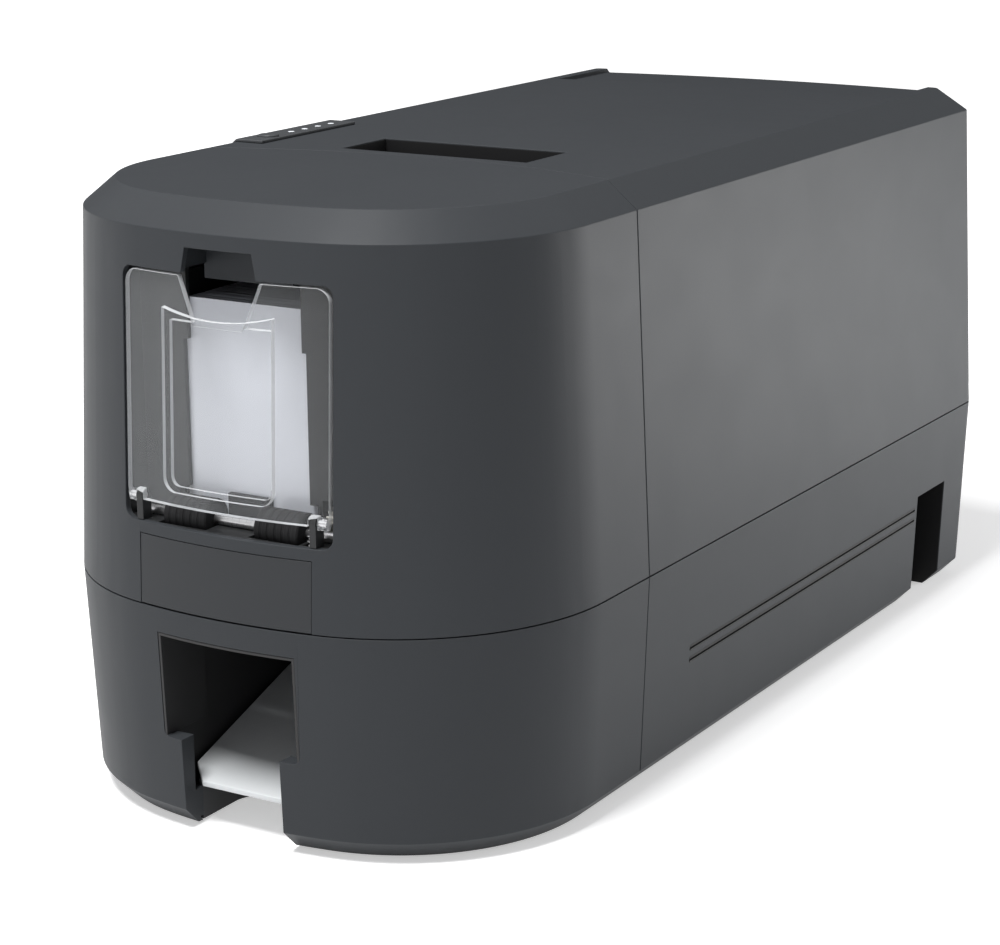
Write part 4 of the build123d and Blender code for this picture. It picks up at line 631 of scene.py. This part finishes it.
finished("drive_motor", motor_case, edge=0.4)


# Card path. Curved guides turn the card from upright to level, and the gate under them
# lets it fall on the ramp. All are black, except the ramp, which is light grey.
BLACK = (0.0075, 0.0075, 0.008)
CHANNEL_BLACK = (0.028, 0.028, 0.029)
RAMP_GREY = (0.62, 0.64, 0.65)
black_plastic = moulded("black_plastic", BLACK, roughness=0.55, grain_size=0.8, tone_shift=0.1,
                        worn=0.06, dusty=0.02, gloss=0.25)
ramp_plastic = moulded("ramp_plastic", RAMP_GREY, roughness=0.38, grain_size=1.2, depth=0.01,
                       tone_shift=0.03, worn=0.05, dusty=0.03, gloss=0.4)
channel_plastic = moulded("channel_plastic", CHANNEL_BLACK, grain_size=0.8, gloss=0.25)
for name in ("outer_card_guide", "inner_card_guide", "card_gate"):
    finished(name, black_plastic, edge=0.2)
finished("output_channel", channel_plastic, edge=0.2)
finished("output_ramp", ramp_plastic, edge=0.35)


# Card magazine. A black box holds the cards on edge, and a pusher on two rods presses
# them towards the door. The cards are blank, 0.76 mm thick, with round corners.
CARD_WHITE = (0.60, 0.62, 0.67)
CARDS = 50
CARD_CORNER = 3.18 * MM
CORNER_STEPS = 6
CARD_GAP_SHARE = 0.10
CARD_STAGGER = 0.12 * MM


def add_slab(shape, near_points, far_points):
    """A slab in a bmesh between two outlines with as many points."""
    near = [shape.verts.new(point) for point in near_points]
    far = [shape.verts.new(point) for point in far_points]
    shape.faces.new(near)
    shape.faces.new(list(reversed(far)))
    for i in range(len(near)):
        after = (i + 1) % len(near)
        shape.faces.new((near[after], near[i], far[i], far[after]))


finished("card_magazine", black_plastic, edge=0.2)
finished("card_pusher", black_plastic, edge=0.4)
finished("pusher_rods", ground_steel, edge=0.3)
card_stock = moulded("card_stock", CARD_WHITE, roughness=0.32, grain_size=2.5, depth=0.004,
                     tone_shift=0.015, worn=0.0, dusty=0.0, gloss=0.5)
cards_low, cards_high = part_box("card_stack")
draw = random.Random(7)
cards_shape = bmesh.new()
pitch = (cards_high[1] - cards_low[1]) / CARDS
for i in range(CARDS):
    shift = 0.0 if i == 0 else draw.uniform(-CARD_STAGGER, CARD_STAGGER)
    rise = 0.0 if i == 0 else draw.uniform(0.0, CARD_STAGGER)
    left, right = cards_low[0] + CARD_STAGGER + shift, cards_high[0] - CARD_STAGGER + shift
    foot, top = cards_low[2], cards_high[2] - CARD_STAGGER + rise
    outline = []
    for corner_x, corner_z, first in ((right, top, 0), (left, top, 1), (left, foot, 2), (right, foot, 3)):
        inward_x = -1 if corner_x == right else 1
        inward_z = -1 if corner_z == top else 1
        for step in range(CORNER_STEPS + 1):
            turn = pi / 2 * (first + step / CORNER_STEPS)
            outline.append((corner_x + CARD_CORNER * (inward_x + cos(turn)),
                            corner_z + CARD_CORNER * (inward_z + sin(turn))))
    card_y = cards_low[1] + i * pitch
    back_y = card_y + pitch * (1 - CARD_GAP_SHARE)
    add_slab(cards_shape, [(x, card_y, z) for x, z in outline], [(x, back_y, z) for x, z in outline])
belongs(from_shape("blank_cards", cards_shape, card_stock, smooth=30), "case", "card_white",
        "card_stack")


# Pick rollers. Two black tyres with turned grooves sit on a steel shaft under the front
# card, and a small geared motor beside the magazine turns them.
TYRE_START = 10.0 * MM
TYRE_CHAMFER = 0.5 * MM
TYRE_GROOVES = 5
GROOVE_DEEP = 0.35 * MM
GROOVE_MOUTH_HALF = 0.7 * MM
GROOVE_FLOOR_HALF = 0.4 * MM
FEED_CAP_LEFT = 4.0 * MM
FEED_CAP_RIGHT = 5.0 * MM
finished("pick_shaft", ground_steel, edge=0.12, segments=1)
finished("feed_gear", acetal, edge=0.1, segments=1)
feed_low, feed_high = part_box("feed_motor")
feed_case = striped("feed_motor_case", MOTOR_CAP, MOTOR_BLACK, feed_low[0] + FEED_CAP_LEFT,
                    feed_high[0] - FEED_CAP_RIGHT)
finished("feed_motor", feed_case, edge=0.4)
tyres_low, tyres_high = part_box("pick_tyres")
tyre_r = (tyres_high[2] - tyres_low[2]) / 2
tyre_length = tyres_high[0] - TYRE_START
tyre_profile = [(0.0, tyre_r - TYRE_CHAMFER), (TYRE_CHAMFER, tyre_r)]
for i in range(TYRE_GROOVES):
    at = tyre_length * (i + 1) / (TYRE_GROOVES + 1)
    tyre_profile += [(at - GROOVE_MOUTH_HALF, tyre_r), (at - GROOVE_FLOOR_HALF, tyre_r - GROOVE_DEEP),
                     (at + GROOVE_FLOOR_HALF, tyre_r - GROOVE_DEEP), (at + GROOVE_MOUTH_HALF, tyre_r)]
tyre_profile += [(tyre_length - TYRE_CHAMFER, tyre_r), (tyre_length, tyre_r - TYRE_CHAMFER)]
tyres_shape = bmesh.new()
for start_x in (TYRE_START, -tyres_high[0]):
    add_turned(tyres_shape, tyre_profile, (start_x, tyres_low[1] + tyre_r, tyres_low[2] + tyre_r),
               axis="X")
belongs(from_shape("pick_roller_tyres", tyres_shape, black_rubber, smooth=30), "pick",
        "rubber_black", "pick_tyres")


# Base. Two dark grey mouldings with a fine spark-eroded grain meet at an upright seam.
# Black strips in the two side grooves and black cups in the grips at the rear are painted shade: they
# darken the grooves and grips as their shadow would.
HOUSING_GREY = (0.033, 0.036, 0.040)
HALF_WIDTH = 102.5 * MM
SKIRT_HEIGHT = 8.0 * MM
SKIRT_INSET = 3.3 * MM
SEAM_HEIGHT = 81.8 * MM
GROOVES = (40.0 * MM, 44.6 * MM)
GROOVE_HALF = 0.7 * MM
GROOVE_DEPTH = 1.0 * MM
GROOVE_ENDS = (-69.0 * MM, 146.0 * MM)
# Half height and lip of the black strips that paint shade along each groove.
GROOVE_SHADE_HALF = 1.1 * MM
GROOVE_SHADE_LIP = 0.12 * MM
GRIP_Y = (148.5 * MM, 179.0 * MM)
GRIP_FOOT = 1.2 * MM
GRIP_TOP = 50.0 * MM
GRIP_FLOOR_X = 86.5 * MM
GRIP_INSET = 0.35 * MM
# Thickness of the black sheets that paint shade into the grooves, grips and finger pocket.
SHADE_SHEET_THICK = 0.25 * MM


def side_x(z):
    """Outer side of the base at one height."""
    if z < SKIRT_HEIGHT:
        return HALF_WIDTH - SKIRT_INSET - (SKIRT_HEIGHT - z)
    return HALF_WIDTH - SKIRT_INSET * (SEAM_HEIGHT - z) / (SEAM_HEIGHT - SKIRT_HEIGHT)


def add_block(shape, low, high):
    """A rectangular block in a bmesh."""
    corners = [shape.verts.new((x, y, z)) for x in (low[0], high[0]) for y in (low[1], high[1])
               for z in (low[2], high[2])]
    for face in ((0, 1, 3, 2), (4, 6, 7, 5), (0, 4, 5, 1), (2, 3, 7, 6), (0, 2, 6, 4), (1, 5, 7, 3)):
        shape.faces.new([corners[i] for i in face])


def add_groove_shade(shape, side, middle):
    """Painted shade in one side groove: black strips on its floor, its two walls and the two lips beside
    it.
    """
    floor_x = side_x(middle) - GROOVE_DEPTH
    lip_x = side_x(middle) - GROOVE_SHADE_LIP
    low, high = middle - GROOVE_HALF, middle + GROOVE_HALF
    for z0, z1, x0, x1 in ((low, high, floor_x, floor_x + SHADE_SHEET_THICK),
                           (low, low + SHADE_SHEET_THICK, floor_x, lip_x),
                           (high - SHADE_SHEET_THICK, high, floor_x, lip_x),
                           (middle - GROOVE_SHADE_HALF, low + SHADE_SHEET_THICK, lip_x, lip_x + SHADE_SHEET_THICK),
                           (high - SHADE_SHEET_THICK, middle + GROOVE_SHADE_HALF, lip_x, lip_x + SHADE_SHEET_THICK)):
        xs = sorted((side * x0, side * x1))
        add_block(shape, (xs[0], GROOVE_ENDS[0], z0), (xs[1], GROOVE_ENDS[1], z1))


def add_grip_shade(shape, side):
    """Painted shade in one grip: black sheets on its back, its roof and its front and rear walls."""
    heights = (GRIP_FOOT, SKIRT_HEIGHT, GRIP_TOP)
    outer_xs = [side_x(z) - GRIP_INSET for z in heights]
    back = sorted((side * GRIP_FLOOR_X, side * (GRIP_FLOOR_X + SHADE_SHEET_THICK)))
    add_block(shape, (back[0], GRIP_Y[0], GRIP_FOOT), (back[1], GRIP_Y[1], GRIP_TOP))
    roof = sorted((side * GRIP_FLOOR_X, side * outer_xs[2]))
    add_block(shape, (roof[0], GRIP_Y[0], GRIP_TOP - SHADE_SHEET_THICK), (roof[1], GRIP_Y[1], GRIP_TOP))
    outline = [(GRIP_FLOOR_X, GRIP_FOOT), *zip(outer_xs, heights), (GRIP_FLOOR_X, GRIP_TOP)]
    for wall_y in (GRIP_Y[0], GRIP_Y[1] - SHADE_SHEET_THICK):
        add_slab(shape, [(side * x, wall_y, z) for x, z in outline],
                 [(side * x, wall_y + SHADE_SHEET_THICK, z) for x, z in outline])


housing = moulded("housing_plastic", HOUSING_GREY, dusty=0.01, gloss=0.16)
for name in ("base_front_shell", "base_rear_shell"):
    finished(name, housing, edge=0.2)
# Black strips and sheets in the grooves and grips: painted shade in these recesses.
painted_shade_shape = bmesh.new()
for side in (1, -1):
    for middle in GROOVES:
        add_groove_shade(painted_shade_shape, side, middle)
    add_grip_shade(painted_shade_shape, side)
belongs(from_shape("painted_shade_grooves_and_grips", painted_shade_shape, black_plastic), "case", "black_plastic")


# Front housing. One moulding with the hopper opening, a thumb notch above it and a
# blank badge plate below it. A black liner behind the opening carries the door's hinge.
BADGE_GREY = (0.034, 0.036, 0.039)
LINER_GREY = (0.016, 0.017, 0.018)
CUP_HALF = 18.0 * MM
CUP_Y = (-198.0 * MM, -212.5 * MM)
CUP_Z = (194.0 * MM, 209.0 * MM)
CUP_WALL = 1.0 * MM
RECESS_TOP = 199.4 * MM
finished("front_housing", housing, edge=0.3)
badge_plastic = moulded("badge_plastic", BADGE_GREY, roughness=0.45, grain_size=0.4, depth=0.015,
                        gloss=0.15)
finished("blank_badge", badge_plastic, edge=0.25)
liner_plastic = moulded("liner_plastic", LINER_GREY, grain_size=0.8, gloss=0.3)
finished("hopper_liner", liner_plastic, edge=0.15)
finished("door_pins", ground_steel, edge=0.15)
cup_shape = bmesh.new()
cup_back, cup_front = CUP_Y
cup_foot, cup_top = CUP_Z
for low, high in (((-CUP_HALF, cup_back, cup_foot), (CUP_HALF, cup_back + CUP_WALL, cup_top)),
                  ((-CUP_HALF, cup_front, cup_top - CUP_WALL), (CUP_HALF, cup_back, cup_top)),
                  ((-CUP_HALF, cup_front, RECESS_TOP), (CUP_WALL - CUP_HALF, cup_back, cup_top)),
                  ((CUP_HALF - CUP_WALL, cup_front, RECESS_TOP), (CUP_HALF, cup_back, cup_top))):
    add_block(cup_shape, low, high)
belongs(from_shape("thumb_cup", cup_shape, housing), "case", "housing_grey")


# Hopper door. It is moulded in clear polycarbonate, follows the curve of the front, and
# has a raised middle with a scooped top. Its cut edges carry a painted highlight: they
# are given a pale, more opaque shade of their own.
CLEAR = (0.62, 0.64, 0.66)
CLEAR_ALPHA = (0.02, 0.28)
# Pale colour and opacity of the painted highlight on the door's edges.
EDGE_HIGHLIGHT_PALE = (0.93, 0.95, 0.97)
EDGE_HIGHLIGHT_ALPHA = (0.38, 0.72)
EDGE_SLANT = 0.8
POLYCARBONATE_IOR = 1.58


def clear_plastic(name, colour, alphas, roughness):
    """Clear plastic that shows more where it is seen edge on."""
    made, tree, shader = surface(name, Roughness=roughness, IOR=POLYCARBONATE_IOR)
    skin = place_effect(tree, grain, Colour=(*colour, 1), Grain_per_metre=300.0, Tone_shift=0.05,
                        Roughness=roughness)
    edge_on = add_node(tree, "LayerWeight", {"Blend": 0.35}).outputs["Facing"]
    tree.links.new(skin["Colour"], shader.inputs["Base Color"])
    tree.links.new(spread(tree, edge_on, *alphas), shader.inputs["Alpha"])
    return made


door = finished("hopper_door", clear_plastic("clear_door", CLEAR, CLEAR_ALPHA, 0.05), edge=0.35)
# The edge faces take a pale, more opaque material: a painted highlight for light caught on the cut edges.
door.data.materials.append(clear_plastic("clear_door_painted_edge_highlight", EDGE_HIGHLIGHT_PALE, EDGE_HIGHLIGHT_ALPHA, 0.2))
for face in door.data.polygons:
    if abs(face.normal.y) < EDGE_SLANT:
        face.material_index = 1


# Cover. The rear housing is one moulding that swings up on two hidden pins. It has a
# finger pocket in its top, lined black as painted shade, and carries the print head and
# the control strip.
COVER_CUTS = (-0.076, -0.061, -0.052, -0.043, -0.034, 0.150)
POCKET_X = 40.0 * MM
POCKET_Y = (-83.0 * MM, -53.0 * MM)
POCKET_Z = (209.0 * MM, 221.5 * MM)
finished("top_cover", housing, edge=0.3, cuts=COVER_CUTS, joined=0.4)
finished("cover_hinge_pins", ground_steel, edge=0.2)
# Black sheets on the pocket's floor and walls: painted shade in the pocket.
pocket_shade_shape = bmesh.new()
(pocket_y0, pocket_y1), (pocket_z0, pocket_z1) = POCKET_Y, POCKET_Z
for low, high in (((-POCKET_X, pocket_y0, pocket_z0), (POCKET_X, pocket_y1, pocket_z0 + SHADE_SHEET_THICK)),
                  ((-POCKET_X, pocket_y0, pocket_z0), (-POCKET_X + SHADE_SHEET_THICK, pocket_y1, pocket_z1)),
                  ((POCKET_X - SHADE_SHEET_THICK, pocket_y0, pocket_z0), (POCKET_X, pocket_y1, pocket_z1)),
                  ((-POCKET_X, pocket_y0, pocket_z0), (POCKET_X, pocket_y0 + SHADE_SHEET_THICK, pocket_z1)),
                  ((-POCKET_X, pocket_y1 - SHADE_SHEET_THICK, pocket_z0), (POCKET_X, pocket_y1, pocket_z1))):
    add_block(pocket_shade_shape, low, high)
belongs(from_shape("finger_pocket_painted_shade", pocket_shade_shape, black_plastic), "cover", "black_plastic")


# Control strip. A raised moulding with one button and four white lenses, lit from a small
# circuit board under it.
STRIP_GREY = (0.048, 0.051, 0.055)
LENS_WHITE = (0.85, 0.88, 0.92)
LENS_GLOW = 0.25
BOARD_GREEN = (0.010, 0.060, 0.026)
CHIP_BLACK = (0.012, 0.012, 0.013)
LIGHT_BOARD = 1.5 * MM


def circuit(name, face_axis, face_at):
    """Printed circuit board: solder mask with tracks, and black chips beyond its face."""
    made, tree, shader = surface(name, Roughness=0.35)
    place = own_place(tree)
    skin = place_effect(tree, grain, Colour=(*BOARD_GREEN, 1), Grain_per_metre=700.0,
                        Tone_shift=0.15, Roughness=0.35)
    upright = add_node(tree, "Mapping", {"Vector": place, "Rotation": (0, pi / 2, 0)}).outputs[0]
    tracks = add_node(tree, "TexBrick", {"Vector": upright, "Scale": 90.0, "Mortar Size": 0.06})
    shade = blended(tree, tracks.outputs["Fac"], skin["Colour"], paler(BOARD_GREEN, 1.9, 0.01))
    chip = maths(tree, "GREATER_THAN", split(tree, place, face_axis), face_at)
    connect(tree, shader, skin, blended(tree, chip, shade, (*CHIP_BLACK, 1)), COAT_RELIEF)
    return made


strip_plastic = moulded("strip_plastic", STRIP_GREY, roughness=0.42, grain_size=0.4, depth=0.015)
finished("status_panel", strip_plastic, edge=0.3)
finished("panel_button", strip_plastic, edge=0.5)
lens, lens_tree, lens_body = surface("light_lens", Emission_Strength=LENS_GLOW)
lens_skin = place_effect(lens_tree, grain, Colour=(*LENS_WHITE, 1), Grain_per_metre=900.0,
                         Tone_shift=0.04, Roughness=0.3)
lens_tree.links.new(lens_skin["Colour"], lens_body.inputs["Base Color"])
lens_tree.links.new(lens_skin["Roughness"], lens_body.inputs["Roughness"])
lens_tree.links.new(lens_skin["Colour"], lens_body.inputs["Emission Color"])
finished("status_lenses", lens, edge=0.25)
light_board_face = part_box("status_board")[0][2] + LIGHT_BOARD
finished("status_board", circuit("light_board", "Z", light_board_face), edge=0.1)


# Print head. A glazed ceramic bar is clamped to an aluminium heat sink, which slides in
# a black carrier under the cover. Two wound springs press it on the platen.
CERAMIC = (0.62, 0.60, 0.54)
ALUMINIUM = (0.58, 0.59, 0.60)
SPRING_STEEL = (0.40, 0.40, 0.41)
SPRING_R = 5.0 * MM
WIRE_R = 0.5 * MM
SPRING_TURNS = 6.5
CLOSED_TURNS = 0.8
CLOSED_PITCH = 1.05 * MM
STEPS_A_TURN = 32
WIRE_SIDES = 10


def add_spring(shape, centre_x, centre_y, low, high):
    """A compression spring in a bmesh, from one height to another, with closed ends."""
    height = high - low - 2 * WIRE_R
    free = height - 2 * CLOSED_PITCH * CLOSED_TURNS
    steps = int(SPRING_TURNS * STEPS_A_TURN)
    rings = []
    for i in range(steps + 1):
        turns = SPRING_TURNS * i / steps
        closed = min(turns, CLOSED_TURNS) + max(0.0, turns - SPRING_TURNS + CLOSED_TURNS)
        share = (turns - closed) / (SPRING_TURNS - 2 * CLOSED_TURNS)
        out = Vector((cos(2 * pi * turns), sin(2 * pi * turns), 0))
        middle = Vector((centre_x, centre_y, low + WIRE_R + CLOSED_PITCH * closed + free * share))
        ring = []
        for k in range(WIRE_SIDES):
            turn = 2 * pi * k / WIRE_SIDES
            round_wire = WIRE_R * (out * cos(turn) + Vector((0, 0, sin(turn))))
            ring.append(shape.verts.new(middle + SPRING_R * out + round_wire))
        rings.append(ring)
    shape.faces.new(rings[0])
    join_rings(shape, rings)
    shape.faces.new(list(reversed(rings[-1])))


ceramic = moulded("glazed_ceramic", CERAMIC, roughness=0.2, grain_size=1.5, depth=0.004,
                  tone_shift=0.03, worn=0.0, dusty=0.0, gloss=0.5)
finished("print_head", ceramic, edge=0.3)
finished("head_heat_sink", turned_metal("extruded_aluminium", ALUMINIUM, roughness=0.35), edge=0.15)
finished("head_carrier", black_plastic, edge=0.4)
springs_low, springs_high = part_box("head_springs")
springs_shape = bmesh.new()
for side in (1, -1):
    add_spring(springs_shape, side * (springs_high[0] - SPRING_R - WIRE_R),
               (springs_low[1] + springs_high[1]) / 2, springs_low[2], springs_high[2])
spring_wire = turned_metal("spring_wire", SPRING_STEEL, roughness=0.28)
belongs(from_shape("wound_springs", springs_shape, spring_wire, smooth=50), "cover",
        "spring_steel", "head_springs")


# Ribbon. A thin coated film runs from the supply roll under the print head to the
# take-up roll. Its panels lie one after another, and the cores are white acetal.
FILM_PANELS = ((0.20, 0.17, 0.01), (0.17, 0.015, 0.06), (0.01, 0.06, 0.16), (0.008, 0.008, 0.010))
PANELS_PER_METRE = 45.0
PANEL_START = 0.13
FILM_TONES = (0.8, 1.2)
FILM_ROUGHNESS = (0.1, 0.24)
FILM_DARK = (0.020, 0.016, 0.030)
for name in ("ribbon_takeup_core", "ribbon_supply_core"):
    finished(name, acetal, edge=0.3)
wound_film = turned_metal("wound_film", FILM_DARK, roughness=0.18, metallic=0.0)
for name in ("ribbon_takeup_roll", "ribbon_supply_roll"):
    finished(name, wound_film, edge=0.2)
film, film_tree, film_body = surface("ribbon_film")
film_along = maths(film_tree, "MULTIPLY_ADD", split(film_tree, own_place(film_tree), "Y"),
                   PANELS_PER_METRE / len(FILM_PANELS), PANEL_START)
panels = add_node(film_tree, "ValToRGB", {"Fac": maths(film_tree, "FRACT", film_along)})
panels.color_ramp.interpolation = "CONSTANT"
while len(panels.color_ramp.elements) < len(FILM_PANELS):
    panels.color_ramp.elements.new(0.5)
for i, colour in enumerate(FILM_PANELS):
    panels.color_ramp.elements[i].position = i / len(FILM_PANELS)
    panels.color_ramp.elements[i].color = (*colour, 1)
film_haze = noise(film_tree, 45.0, 3.0)
film_shade = toned(film_tree, panels.outputs["Color"], spread(film_tree, film_haze, *FILM_TONES))
film_tree.links.new(film_shade, film_body.inputs["Base Color"])
film_tree.links.new(spread(film_tree, film_haze, *FILM_ROUGHNESS), film_body.inputs["Roughness"])
film_mesh = frame["nodes"]["ribbon_film"].data
film_mesh.materials.clear()
film_mesh.materials.append(film)


# Rear panel. It is a grey moulding with air slots that closes the case behind the cover,
# and four zinc-plated screws hold it.
PANEL_SCREWS = ((72.0 * MM, 96.0 * MM), (72.0 * MM, 192.0 * MM))
PANEL_SCREW_SEAT = 0.4 * MM
REAR_Y = 220.5 * MM
REAR_RADIUS = 480.0 * MM
PANEL_TOP = 212.4 * MM
PANEL_LEAN = 5.8 * MM
finished("rear_panel", housing, edge=0.5)
panel_screws_shape = bmesh.new()
for screw_x, screw_z in PANEL_SCREWS:
    screw_radius = REAR_RADIUS - PANEL_LEAN * (screw_z - SEAM_HEIGHT) / (PANEL_TOP - SEAM_HEIGHT)
    screw_y = REAR_Y - REAR_RADIUS + sqrt(screw_radius ** 2 - screw_x ** 2) - PANEL_SCREW_SEAT
    for side in (1, -1):
        add_screw(panel_screws_shape, (side * screw_x, screw_y, screw_z), (0, 1, 0))
belongs(from_shape("rear_panel_screws", panel_screws_shape, screw_zinc, smooth=35),
        frame["nodes"]["rear_panel"]["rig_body"], "steel")


# Sockets, boards and supply. The mains inlet, its switch and the data sockets show
# through the base, with the main board and the closed power supply behind them.
SOCKET_STEEL = (0.48, 0.48, 0.49)
SUPPLY_ZINC = (0.44, 0.45, 0.46)
MAIN_BOARD = 1.7 * MM
finished("power_inlet", black_plastic, edge=0.25)
finished("power_switch", black_plastic, edge=0.25)
finished("power_rocker", black_plastic, edge=0.3)
finished("data_ports", plated("socket_shells", SOCKET_STEEL, roughness=0.28), edge=0.15)
main_board_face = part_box("control_board")[0][0] + MAIN_BOARD
finished("control_board", circuit("control_circuit", "X", main_board_face), edge=0.1)
finished("power_supply", plated("supply_case", SUPPLY_ZINC), edge=0.6)
